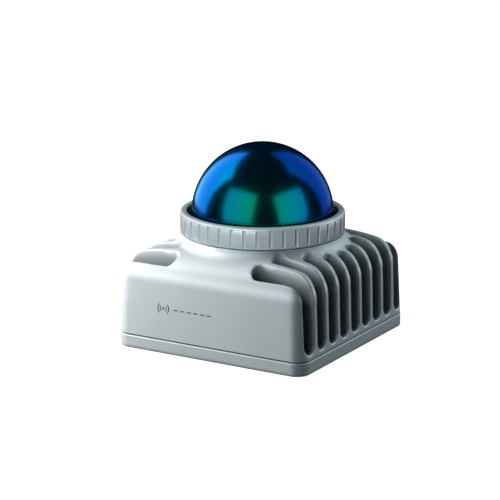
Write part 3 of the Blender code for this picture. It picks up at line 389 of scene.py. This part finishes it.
def paint_shade_in_recesses(made):
    """Painted shade deep in the slots and holes: the coat's colour multiplied darker by the mesh's recess
    attribute.
    """
    tree = made.node_tree
    shader = tree.nodes["Principled BSDF"]
    coat = shader.inputs["Base Color"].links[0].from_socket
    depth = tree.nodes.new("ShaderNodeAttribute")
    depth.attribute_name = "recess"
    # Painted shade, darker the deeper a point lies below the skin.
    painted_shade = ramp(tree, depth.outputs["Fac"], RECESS_PAINTED_SHADE)
    mix = tree.nodes.new("ShaderNodeMix")
    mix.data_type = "RGBA"
    mix.blend_type = "MULTIPLY"
    mix.inputs["Factor"].default_value = 1.0
    tree.links.new(coat, mix.inputs[MIX_FIRST_COLOUR])
    tree.links.new(painted_shade.outputs["Color"], mix.inputs[MIX_SECOND_COLOUR])
    tree.links.new(mix.outputs[MIX_RESULT_COLOUR], shader.inputs["Base Color"])


FILM_NANOMETRES = 351.0
FILM_IOR = 1.48
WINDOW_IOR = 2.3


def dome_material():
    """Dark window with an interference coating: teal face on, blue and violet at a slant."""
    made, tree, shader = new_material("dome_coating")
    shader.inputs["Base Color"].default_value = (0.0, 0.006, 0.010, 1)
    shader.inputs["IOR"].default_value = WINDOW_IOR
    shader.inputs["Specular Tint"].default_value = (0.08, 0.68, 1.0, 1)
    shader.inputs["Thin Film Thickness"].default_value = FILM_NANOMETRES
    shader.inputs["Thin Film IOR"].default_value = FILM_IOR
    fine = noise(tree, 400.0, 2.0)
    uneven = ramp(tree, fine.outputs["Fac"], ((0.3, 0.18), (0.7, 0.23)))
    tree.links.new(uneven.outputs["Color"], shader.inputs["Roughness"])
    return made


# Name, colour, metallic, roughness, grain per metre, colour drift and depth of the grain.
PAINT = textured("cast_paint", (0.58, 0.615, 0.63), 0.25, 0.46, 2600.0, 0.03)
RING_PAINT = textured("ring_finish", (0.62, 0.645, 0.66), 0.25, 0.38, 3200.0, 0.03)
ALUMINIUM = textured("bare_aluminium", (0.72, 0.73, 0.75), 1.0, 0.32, 1800.0, 0.04)
STEEL = textured("steel", (0.52, 0.52, 0.53), 1.0, 0.28, 1500.0, 0.06)
NICKEL = textured("plated_connector", (0.64, 0.62, 0.58), 1.0, 0.22, 1500.0, 0.04)
BRASS = textured("brass", (0.80, 0.60, 0.28), 1.0, 0.30, 1500.0, 0.08)
GOLD = textured("gold_contacts", (0.95, 0.70, 0.28), 1.0, 0.18, 1500.0, 0.05)
RUBBER = textured("rubber", (0.022, 0.022, 0.024), 0.0, 0.78, 2400.0, 0.25)
BLACK_PLASTIC = textured("black_plastic", (0.028, 0.028, 0.031), 0.0, 0.48, 2800.0, 0.2)
BOARD = textured("green_board", (0.016, 0.15, 0.075), 0.0, 0.40, 900.0, 0.25)
COPPER = textured("copper", (0.82, 0.40, 0.22), 1.0, 0.34, 2000.0, 0.15)
MAGNET = textured("magnet", (0.34, 0.34, 0.36), 1.0, 0.30, 1600.0, 0.06)
MIRROR = textured("mirror_coating", (0.90, 0.92, 0.94), 1.0, 0.06, 300.0, 0.01, 0.001 * MM)
PAD = textured("silicone_pad", (0.36, 0.46, 0.62), 0.0, 0.76, 1800.0, 0.1)
SLEEVE = textured("wire_sleeve", (0.05, 0.05, 0.055), 0.0, 0.62, 2500.0, 0.3)
LENS = textured("lens_glass", (0.75, 0.85, 0.88), 0.0, 0.08, 500.0, 0.02, 0.001 * MM)
INK = textured("dark_print", (0.035, 0.04, 0.05), 0.0, 0.55, 2500.0, 0.15)
DOME = dome_material()
# Painted shade in the slots and holes of the painted housing and base plate.
paint_shade_in_recesses(PAINT)

SLOT_MATERIAL = {
    "painted_housing": PAINT, "bare_aluminium": ALUMINIUM, "steel": STEEL,
    "plated_connector": NICKEL, "brass": BRASS, "gold_contacts": GOLD, "rubber": RUBBER,
    "dome_coating": DOME, "black_plastic": BLACK_PLASTIC, "green_board": BOARD,
    "copper": COPPER, "magnet": MAGNET, "mirror_coating": MIRROR, "lens_glass": LENS,
    "silicone_pad": PAD, "wire_sleeve": SLEEVE,
}


def dress_cad_nodes():
    """Give every CAD node the material of its slot in the record."""
    for part in frame["record"]["subparts"]:
        node = frame["nodes"][part["node"]]
        node.data.materials.clear()
        node.data.materials.append(SLOT_MATERIAL[part["material_slot"]])


def dress(item, material, nodes=()):
    """Material, body and replaced nodes of a new piece, all of which stay still."""
    item.data.materials.clear()
    item.data.materials.append(material)
    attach(item, "root")
    if nodes:
        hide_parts(*nodes)
    return item


# ---------------------------------------------------------------- turned pieces

def hexagon(angle, flats):
    """Distance from the middle to a hexagon's side at an angle."""
    sixth = math.pi / 3
    return flats / math.cos((angle + sixth / 2) % sixth - sixth / 2)


def evenly(count):
    """Angles of a whole turn in equal steps."""
    return [number * 2 * math.pi / count for number in range(count)]


def revolved(profile, angles, closed=True):
    """Points and faces of a body turned about Z, from rows of (radius or function of angle, height)."""
    points = []
    for angle in angles:
        for radius, height in profile:
            reach = radius(angle) if callable(radius) else radius
            points.append((reach * math.cos(angle), reach * math.sin(angle), height))
    rows, columns = len(profile), len(angles)
    faces = []
    for column in range(columns):
        across = (column + 1) % columns
        for row in range(rows if closed else rows - 1):
            below = (row + 1) % rows
            faces.append((column * rows + row, column * rows + below,
                          across * rows + below, across * rows + row))
    return points, faces


def assembled(name, shapes, sharp=40, turn=None):
    """One object from several (points, faces, place) shapes, turned and then set down at place."""
    points, faces = [], []
    for shape_points, shape_faces, place in shapes:
        first = len(points)
        for point in shape_points:
            moved = turn @ Vector(point) if turn else Vector(point)
            points.append(tuple(moved + Vector(place)))
        faces += [tuple(first + index for index in face) for face in shape_faces]
    mesh = new_mesh(name, points, faces)
    work = bmesh.new()
    work.from_mesh(mesh)
    bmesh.ops.remove_doubles(work, verts=work.verts, dist=0.001 * MM)
    bmesh.ops.recalc_face_normals(work, faces=work.faces)
    work.to_mesh(mesh)
    work.free()
    mesh.shade_smooth()
    mesh.set_sharp_from_angle(angle=math.radians(sharp))
    return placed(name, mesh)


def arc(centre, radius, start, end, steps):
    """Points of an arc in the (radius, height) plane, angles in degrees."""
    angles = [math.radians(start + (end - start) * step / steps) for step in range(steps + 1)]
    return [(centre[0] + radius * math.cos(a), centre[1] + radius * math.sin(a)) for a in angles]


def make_dome():
    """Window's dome and flange, one wall thick."""
    outer = arc((0, DOME_CENTRE), DOME_RADIUS, 90, 0, 48)
    inner = arc((0, DOME_CENTRE), DOME_RADIUS - DOME_WALL, 0, 90, 32)
    outer[0] = (0, DOME_TOP)
    inner[-1] = (0, DOME_TOP - DOME_WALL)
    flange = [(FLANGE_RADIUS - SEAT_EDGE, DOME_CENTRE), (FLANGE_RADIUS, DOME_CENTRE - SEAT_EDGE),
              (FLANGE_RADIUS, DOME_LOW.z), (DOME_RADIUS - DOME_WALL, DOME_LOW.z)]
    shape = revolved(outer + flange + inner, evenly(160), closed=False)
    item = assembled("dome_shell", [(*shape, (0, 0, 0))])
    return dress(item, DOME, nodes=["dome_window"])


RING_PADS = 40
PAD_PITCH = 2 * math.pi / RING_PADS
PAD_LOW = RING_BOTTOM + 0.65 * MM
PAD_HIGH = RING_BOTTOM + 5.6 * MM
PAD_DEPTH = 0.44 * MM
PAD_EDGE = 0.16 * MM
GROOVE_WIDTH = 1.0 * MM
GROOVE_HALF = GROOVE_WIDTH / 2 / RING_RADIUS
GROOVE_FADE = PAD_EDGE / RING_RADIUS
LIP_SHRINK = 0.12 * MM
LIP_RADIUS = RING_RADIUS - LIP_SHRINK
FOOT_CHAMFER = 0.25 * MM
RIM_RADIUS = 0.75 * MM
RING_BORE = FLANGE_RADIUS + GAP
RING_MOUTH = FLANGE_RADIUS - 0.5 * MM
RING_LEDGE = DOME_CENTRE + GAP


def smooth_step(value):
    value = min(max(value, 0.0), 1.0)
    return value * value * (3 - 2 * value)


def ring_angles():
    """Angles round the ring, close together at the edges of each groove."""
    half, fade = GROOVE_HALF, GROOVE_FADE
    offsets = [-half, -half + fade * 0.5, -half + fade, 0, half - fade, half - fade * 0.5, half]
    offsets += [half + (PAD_PITCH - 2 * half) * share for share in (0.06, 0.25, 0.5, 0.75, 0.94)]
    return [index * PAD_PITCH + offset for index in range(RING_PADS) for offset in offsets]


def knurled(radius, share):
    """Radius by angle: plain where share is 0, flat pads between sunk grooves where it is 1."""
    def reach(angle):
        off = abs((angle + PAD_PITCH / 2) % PAD_PITCH - PAD_PITCH / 2)
        pad = smooth_step((off - GROOVE_HALF + GROOVE_FADE) / GROOVE_FADE)
        flat = math.cos(PAD_PITCH / 2) / math.cos(PAD_PITCH / 2 - off)
        raised = radius + LIP_SHRINK
        sunk = raised - PAD_DEPTH
        shaped = sunk + (raised * flat - sunk) * pad
        return radius + (shaped - radius) * share
    return reach


def make_ring():
    """Knurled ring: flat pads between grooves, a plain lip below and a rounded rim above."""
    low, high, edge = PAD_LOW, PAD_HIGH, PAD_EDGE
    tall = high - low - 2 * edge
    band = [(low - edge, 0), (low, 0), (low + edge / 2, 0.5), (low + edge, 1)]
    band += [(low + edge + tall * share, 1) for share in (0.33, 0.67)]
    band += [(high - edge, 1), (high - edge / 2, 0.5), (high, 0), (high + edge, 0)]
    profile = [(LIP_RADIUS - FOOT_CHAMFER, RING_BOTTOM), (LIP_RADIUS, RING_BOTTOM + FOOT_CHAMFER)]
    profile += [(knurled(LIP_RADIUS, share), height) for height, share in band]
    profile += arc((LIP_RADIUS - RIM_RADIUS, RING_TOP - RIM_RADIUS), RIM_RADIUS, 0, 90, 6)
    profile += arc((RING_MOUTH + SOFT_EDGE, RING_TOP - SOFT_EDGE), SOFT_EDGE, 90, 180, 4)
    profile += [(RING_MOUTH, RING_LEDGE), (RING_BORE, RING_LEDGE), (RING_BORE, RING_BOTTOM)]
    shape = revolved(profile, ring_angles())
    item = assembled("knurled_ring", [(*shape, (0, 0, 0))], 50)
    return dress(item, RING_PAINT, nodes=["retaining_ring"])


# ---------------------------------------------------------------- housing

HOUSING_STEP = 0.36 * MM
HOUSING_ADAPTIVITY = 0.004


def make_housing():
    low = (-HALF, -HALF, HOUSING_BOTTOM)
    high = (HALF, HALF, SEAT_TOP)
    item = solid("cast_housing", housing_field, low, high, HOUSING_STEP, HOUSING_ADAPTIVITY,
                 recess_field)
    return dress(item, PAINT, nodes=["housing"])


# ---------------------------------------------------------------- base plate

PLATE_STEP = 0.3 * MM
PLATE_ADAPTIVITY = 0.03
PLATE_FOOT_EDGE = 0.7 * MM
PLATE_TOP_EDGE = 0.22 * MM
GASKET_INSET = 2.3 * MM
GASKET_CORNER = 3.2 * MM
GASKET_GROOVE_HALF = 1.0 * MM
GASKET_GROOVE_DEPTH = 1.0 * MM
MOUNT_PLACES = [(x * 18.0 * MM, y * 12.0 * MM) for x in (1, -1) for y in (1, -1)]
MOUNT_HOLE_RADIUS = 1.5 * MM
MOUNT_HOLE_DEPTH = 5.0 * MM
MOUNT_BOSS_RADIUS = 3.2 * MM
LOCATOR_PLACES = [(0, 18.0 * MM), (0, -18.0 * MM)]
LOCATOR_DEPTH = 2.5 * MM
HEAD_RECESS_RADIUS = 2.6 * MM
HEAD_RECESS_DEPTH = 2.1 * MM
MOUTH_CHAMFER = 0.4 * MM
MOUTH_SLOPE = 0.7
PANEL_HALF = (11.0 * MM, 8.0 * MM)
PANEL_CORNER = 1.5 * MM
PANEL_DEPTH = 0.15 * MM


def mouth(x, y, z, place, radius, depth):
    """Hole up from the underside with a chamfered mouth."""
    around = np.hypot(x - place[0], y - place[1])
    chamfer = (around - radius - MOUTH_CHAMFER + z) * MOUTH_SLOPE
    return np.maximum(np.minimum(around - radius, chamfer), z - depth)


def plate_field(x, y, z):
    """Base plate with its gasket groove, mounting and locating holes, screw recesses and shallow panel."""
    wall = round_box(x, y, HALF, HALF, CORNER_RADIUS)
    plate = round_and(round_and(wall, -z, PLATE_FOOT_EDGE), z - BASE_TOP, PLATE_TOP_EDGE)
    inset = HALF - GASKET_INSET
    groove = np.abs(round_box(x, y, inset, inset, GASKET_CORNER)) - GASKET_GROOVE_HALF
    plate = np.maximum(plate, -np.maximum(groove, BASE_TOP - GASKET_GROOVE_DEPTH - z))
    for place in MOUNT_PLACES:
        boss = np.hypot(x - place[0], y - place[1]) - MOUNT_BOSS_RADIUS
        boss = np.maximum(np.maximum(boss, z - PLATE_HIGH.z), OVERRUN - z)
        plate = np.minimum(plate, boss)
    for place in MOUNT_PLACES:
        plate = np.maximum(plate, -mouth(x, y, z, place, MOUNT_HOLE_RADIUS, MOUNT_HOLE_DEPTH))
    for place in LOCATOR_PLACES:
        plate = np.maximum(plate, -mouth(x, y, z, place, MOUNT_HOLE_RADIUS, LOCATOR_DEPTH))
    for place in SCREW_PLACES:
        around = np.hypot(x - place.x, y - place.y)
        head = mouth(x, y, z, place, HEAD_RECESS_RADIUS, HEAD_RECESS_DEPTH)
        plate = np.maximum(plate, -np.minimum(head, around - SCREW_HOLE_RADIUS))
    panel = round_box(x, y, *PANEL_HALF, PANEL_CORNER)
    return np.maximum(plate, -np.maximum(panel, z - PANEL_DEPTH))


def plate_skin(x, y, z):
    """Outside of the base plate without its holes."""
    return np.maximum(round_box(x, y, HALF, HALF, CORNER_RADIUS), -z)


def make_plate():
    low = (-HALF, -HALF, 0)
    high = (HALF, HALF, PLATE_HIGH.z)
    item = solid("cast_base", plate_field, low, high, PLATE_STEP, PLATE_ADAPTIVITY, plate_skin)
    return dress(item, PAINT, nodes=["base_plate"])


# ---------------------------------------------------------------- screws and connector

SHAFT_RADIUS = 1.15 * MM
HEAD_HEIGHT = 1.4 * MM
HEAD_EDGE = 0.2 * MM
SOCKET_FLATS = 1.25 * MM
SOCKET_DEPTH = 1.0 * MM
SHAFT_TIP = (0.3 * MM, 0.4 * MM)


def make_base_screws():
    """Socket-head screws seen from below."""
    low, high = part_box("base_screw_1")
    head = (high.x - low.x) / 2
    bottom, top, neck = low.z, high.z, low.z + HEAD_HEIGHT

    def socket(angle):
        return hexagon(angle, SOCKET_FLATS)

    profile = [(0, bottom + SOCKET_DEPTH), (socket, bottom + SOCKET_DEPTH),
               (socket, bottom + SHARP_EDGE), (SOCKET_FLATS * 1.3, bottom),
               (head - HEAD_EDGE, bottom), (head, bottom + HEAD_EDGE), (head, neck),
               (SHAFT_RADIUS, neck), (SHAFT_RADIUS, top - SHAFT_TIP[1]),
               (SHAFT_RADIUS - SHAFT_TIP[0], top), (0, top)]
    for number, place in enumerate(SCREW_PLACES, 1):
        shape = revolved(profile, evenly(48), closed=False)
        item = assembled(f"socket_screw_{number}", [(*shape, (place.x, place.y, 0))], 30)
        dress(item, STEEL, nodes=[f"base_screw_{number}"])


FLANGE_THICKNESS = 2.2 * MM
FLANGE_WIDTH = 2.2 * MM
CONNECTOR_SEAT = HALF + GAP
CONNECTOR_FRONT = CONNECTOR_SEAT + FLANGE_THICKNESS
BARREL_RADIUS = SHELL_HIGH.x - FLANGE_WIDTH
SHELL_WALL = 1.4 * MM
SLEEVE_SHRINK = 0.2 * MM
THREAD_PITCH = 1.0 * MM
THREAD_DEPTH = 0.5 * MM
THREAD_RELIEF = 0.9 * MM
THREAD_FADE = 1.0 * MM
THREAD_ENDS = (0.3 * MM, 0.5 * MM)
THREAD_STEPS = 60
SEAL_SLOT = (6.55 * MM, 7.55 * MM)
SEAL_SLOT_DEPTH = 0.55 * MM
PIN_RADIUS = 0.38 * MM
PIN_CIRCLES = ((9, 2.9 * MM), (3, 1.15 * MM))
CARRIER_THICKNESS = 2.0 * MM
PIN_ROOT = 1.9 * MM
ALONG_Y = Matrix.Rotation(-math.pi / 2, 3, "X")


def thread(height):
    """Barrel's radius by angle at a height along its thread, which fades in past the relief."""
    def reach(angle):
        turn = (height / THREAD_PITCH - angle / (2 * math.pi)) % 1
        fade = min(max((height - CONNECTOR_FRONT - THREAD_RELIEF) / THREAD_FADE, 0), 1)
        return BARREL_RADIUS - THREAD_DEPTH * (1 - fade + fade * abs(2 * turn - 1))
    return reach


def make_connector_shell():
    """Threaded shell on the rear wall, with a flange and a seal slot."""
    flange, root = SHELL_HIGH.x, BARREL_RADIUS - THREAD_DEPTH
    bore, sleeve = BARREL_RADIUS - SHELL_WALL, BARREL_RADIUS - SLEEVE_SHRINK
    tip, tail, seat, front = SHELL_HIGH.y, SHELL_LOW.y, CONNECTOR_SEAT, CONNECTOR_FRONT
    start, end = front + THREAD_ENDS[0], tip - THREAD_ENDS[1]
    heights = [start + (end - start) * step / THREAD_STEPS for step in range(THREAD_STEPS + 1)]
    profile = [(flange, front - SOFT_EDGE), (flange - SOFT_EDGE, front), (root, front)]
    profile += [(thread(height), height) for height in heights]
    profile += [(root, tip), (bore + SEAT_EDGE, tip), (bore, tip - SEAT_EDGE), (bore, tail),
                (sleeve, tail), (sleeve, seat), (SEAL_SLOT[0], seat),
                (SEAL_SLOT[0], seat + SEAL_SLOT_DEPTH), (SEAL_SLOT[1], seat + SEAL_SLOT_DEPTH),
                (SEAL_SLOT[1], seat), (flange - SOFT_EDGE, seat), (flange, seat + SOFT_EDGE)]
    place = (0, 0, CONNECTOR_HEIGHT)
    shell = assembled("threaded_shell", [(*revolved(profile, evenly(96)), place)], 50, ALONG_Y)
    dress(shell, NICKEL, nodes=["connector_shell"])


def make_connector_pins():
    """Rounded pins in two circles on their carrier disc."""
    low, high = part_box("connector_contacts")
    disc, face = (high.x - low.x) / 2, low.y + CARRIER_THICKNESS
    carrier = [(0, low.y), (disc, low.y), (disc, face), (0, face)]
    shapes = [(*revolved(carrier, evenly(64), closed=False), (0, 0, CONNECTOR_HEIGHT))]
    shoulder = high.y - PIN_RADIUS
    rod = [(0, low.y + PIN_ROOT), (PIN_RADIUS, low.y + PIN_ROOT), (PIN_RADIUS, shoulder)]
    rod += [(PIN_RADIUS * math.cos(a), shoulder + PIN_RADIUS * math.sin(a))
            for a in (0.4, 0.8, 1.2, 1.5)]
    rod += [(0, high.y)]
    for count, circle in PIN_CIRCLES:
        for angle in evenly(count):
            place = (circle * math.cos(angle), 0, CONNECTOR_HEIGHT - circle * math.sin(angle))
            shapes.append((*revolved(rod, evenly(16), closed=False), place))
    pins = assembled("contact_pins", shapes, 50, ALONG_Y)
    dress(pins, GOLD, nodes=["connector_contacts"])


# ---------------------------------------------------------------- front symbol

MARK_MIDDLE = (-15.2 * MM, 14.0 * MM)
MARK_DOT = 0.7 * MM
MARK_ARC_RADII = (1.1 * MM, 1.9 * MM)
MARK_ARC_HALF = 0.8
MARK_LINE = 0.32 * MM
DASH_COUNT = 6
DASH_START = -11.6 * MM
DASH_PITCH = 2.3 * MM
DASH_LENGTH = 1.5 * MM
DASH_LINE = 0.34 * MM
INK_PROUD = 0.015 * MM


def wall_point(x, z):
    """Point just proud of the front wall."""
    return (x, -(HALF - wall_lean(z)) - INK_PROUD, z)


def make_front_mark():
    """Plain printed symbol on the front: a dot with sweep arcs and a row of dashes."""
    points, faces = [], []

    def strip(path, width):
        for (x1, z1), (x2, z2) in zip(path, path[1:]):
            length = math.hypot(x2 - x1, z2 - z1)
            across = (-(z2 - z1) / length * width / 2, (x2 - x1) / length * width / 2)
            first = len(points)
            for x, z, side in ((x1, z1, -1), (x2, z2, -1), (x2, z2, 1), (x1, z1, 1)):
                points.append(wall_point(x + side * across[0], z + side * across[1]))
            faces.append((first, first + 1, first + 2, first + 3))

    centre, middle = MARK_MIDDLE
    strip([(centre - MARK_DOT / 2, middle), (centre + MARK_DOT / 2, middle)], MARK_DOT)
    for radius in MARK_ARC_RADII:
        for side in (0, math.pi):
            strip([(centre + radius * math.cos(side + a), middle + radius * math.sin(side + a))
                   for a in np.linspace(-MARK_ARC_HALF, MARK_ARC_HALF, 13)], MARK_LINE)
    for index in range(DASH_COUNT):
        left = DASH_START + index * DASH_PITCH
        strip([(left, middle), (left + DASH_LENGTH, middle)], DASH_LINE)
    item = placed("front_symbol", new_mesh("front_symbol", points, faces))
    return dress(item, INK)


# ---------------------------------------------------------------- stage, camera and lights

FLOOR_HALF = 6.0
FLOOR_GLOW = 0.88


def make_stage():
    """Pale floor, which glows a little so that it ends in white."""
    made, tree, shader = new_material("floor_grey")
    shader.inputs["Roughness"].default_value = 0.9
    shader.inputs["Specular IOR Level"].default_value = 0.1
    shader.inputs["Emission Color"].default_value = (1, 1, 1, 1)
    shader.inputs["Emission Strength"].default_value = FLOOR_GLOW
    drift = noise(tree, 3.0, 2.0)
    tint = ramp(tree, drift.outputs["Fac"], ((0.3, 0.80), (0.7, 0.82)))
    tree.links.new(tint.outputs["Color"], shader.inputs["Base Color"])
    half = FLOOR_HALF
    corners = [(-half, -half, 0), (half, -half, 0), (half, half, 0), (-half, half, 0)]
    floor = placed("floor", new_mesh("floor", corners, [(0, 1, 2, 3)]))
    floor.data.materials.append(made)
    floor.visible_diffuse = False
    floor.visible_glossy = False


VIEW_AZIMUTH = math.radians(30.585)
VIEW_ELEVATION = math.radians(14.946)
VIEW_DISTANCE = 645 * MM
VIEW_LENS = 152.8
VIEW_SHIFT = (-0.0253, 0.0106)
VIEW_TARGET = Vector((0, 0, 25 * MM))


def direction(azimuth, elevation):
    """Unit vector away from the object, at an angle round from the front and one above the floor."""
    level = math.cos(elevation)
    return Vector((math.sin(azimuth) * level, -math.cos(azimuth) * level, math.sin(elevation)))


def make_camera():
    """Camera at the view's angle, upright, with its small shift."""
    back = direction(VIEW_AZIMUTH, VIEW_ELEVATION)
    right = Vector((math.cos(VIEW_AZIMUTH), math.sin(VIEW_AZIMUTH), 0))
    up = back.cross(right)
    data = bpy.data.cameras.new("camera")
    data.lens = VIEW_LENS
    data.sensor_width = 36.0
    data.shift_x, data.shift_y = VIEW_SHIFT
    data.clip_start = 0.01
    camera = placed("camera", data)
    turn = Matrix((right, up, back)).transposed().to_4x4()
    camera.matrix_world = Matrix.Translation(VIEW_TARGET + back * VIEW_DISTANCE) @ turn
    bpy.context.scene.camera = camera


def softbox(name, side, height, distance, width, tall, power, colour=(1, 1, 1)):
    """Area light at an angle round from the camera and an angle above the floor, in degrees."""
    away = direction(VIEW_AZIMUTH + math.radians(side), math.radians(height))
    data = bpy.data.lights.new(name, "AREA")
    data.shape = "RECTANGLE"
    data.size = width
    data.size_y = tall
    data.energy = power
    data.color = colour
    lamp = placed(name, data)
    lamp.location = VIEW_TARGET + away * distance
    lamp.rotation_euler = away.to_track_quat("Z", "Y").to_euler()
    return lamp


def make_world():
    """White backdrop that lights nothing, and plain view colours."""
    world = bpy.data.worlds.new("studio")
    world.use_nodes = True
    sky = world.node_tree.nodes["Background"]
    sky.inputs["Color"].default_value = (0.97, 0.98, 1.0, 1)
    sky.inputs["Strength"].default_value = 1.0
    world.cycles_visibility.diffuse = False
    world.cycles_visibility.glossy = False
    bpy.context.scene.world = world
    bpy.context.scene.view_settings.view_transform = "Standard"


COOL = (0.80, 0.955, 1.0)
CYAN = (0.55, 1.0, 0.64)
BLUE = (0.60, 0.75, 1.0)


def link_light(lamp, items, state):
    """Leave some pieces out of a light with state EXCLUDE, or light them alone with INCLUDE."""
    group = bpy.data.collections.new(lamp.name + "_reach")
    for item in items:
        group.objects.link(item)
    for member in group.collection_objects:
        member.light_linking.link_state = state
    lamp.light_linking.receiver_collection = group


def make_lights(dome, ring):
    """Softboxes for the painted body, the ring and the window.

    Each has its two angles, distance, width and height in metres, power in watts and colour.
    """
    for lamp in (softbox("front_left_box", -41, 22, 0.45, 0.42, 0.40, 0.80, COOL),
                 softbox("rear_left_box", -125, 30, 0.6, 0.62, 0.95, 2.6),
                 softbox("rear_right_box", 126, 28, 0.6, 0.56, 0.8, 1.6, COOL),
                 softbox("side_light", 98, 14, 0.5, 0.3, 0.3, 0.62, COOL)):
        link_light(lamp, [dome], "EXCLUDE")
    wall_key = softbox("wall_key", -86, 18, 0.18, 0.06, 0.10, 0.40)
    link_light(wall_key, [dome, ring], "EXCLUDE")
    for lamp in (softbox("ring_front", -25, 20, 0.5, 0.3, 0.3, 1.15, COOL),
                 softbox("ring_key", -84, 18, 0.45, 0.06, 0.10, 0.45)):
        link_light(lamp, [ring], "INCLUDE")
    for lamp in (softbox("window_front_left", -41, 20, 0.45, 0.42, 0.40, 1.4, COOL),
                 softbox("window_front_right", 50, 18, 0.45, 0.42, 0.38, 1.3, COOL),
                 softbox("window_rear_left", -125, 26, 0.6, 0.56, 0.70, 9.0, CYAN),
                 softbox("window_rear_right", 130, 28, 0.6, 0.50, 0.8, 1.9, BLUE)):
        link_light(lamp, [dome], "INCLUDE")


dress_cad_nodes()
make_housing()
make_plate()
make_base_screws()
make_connector_shell()
make_connector_pins()
make_front_mark()
dome_shell = make_dome()
knurled_ring = make_ring()
make_stage()
make_camera()
make_world()
make_lights(dome_shell, knurled_ring)
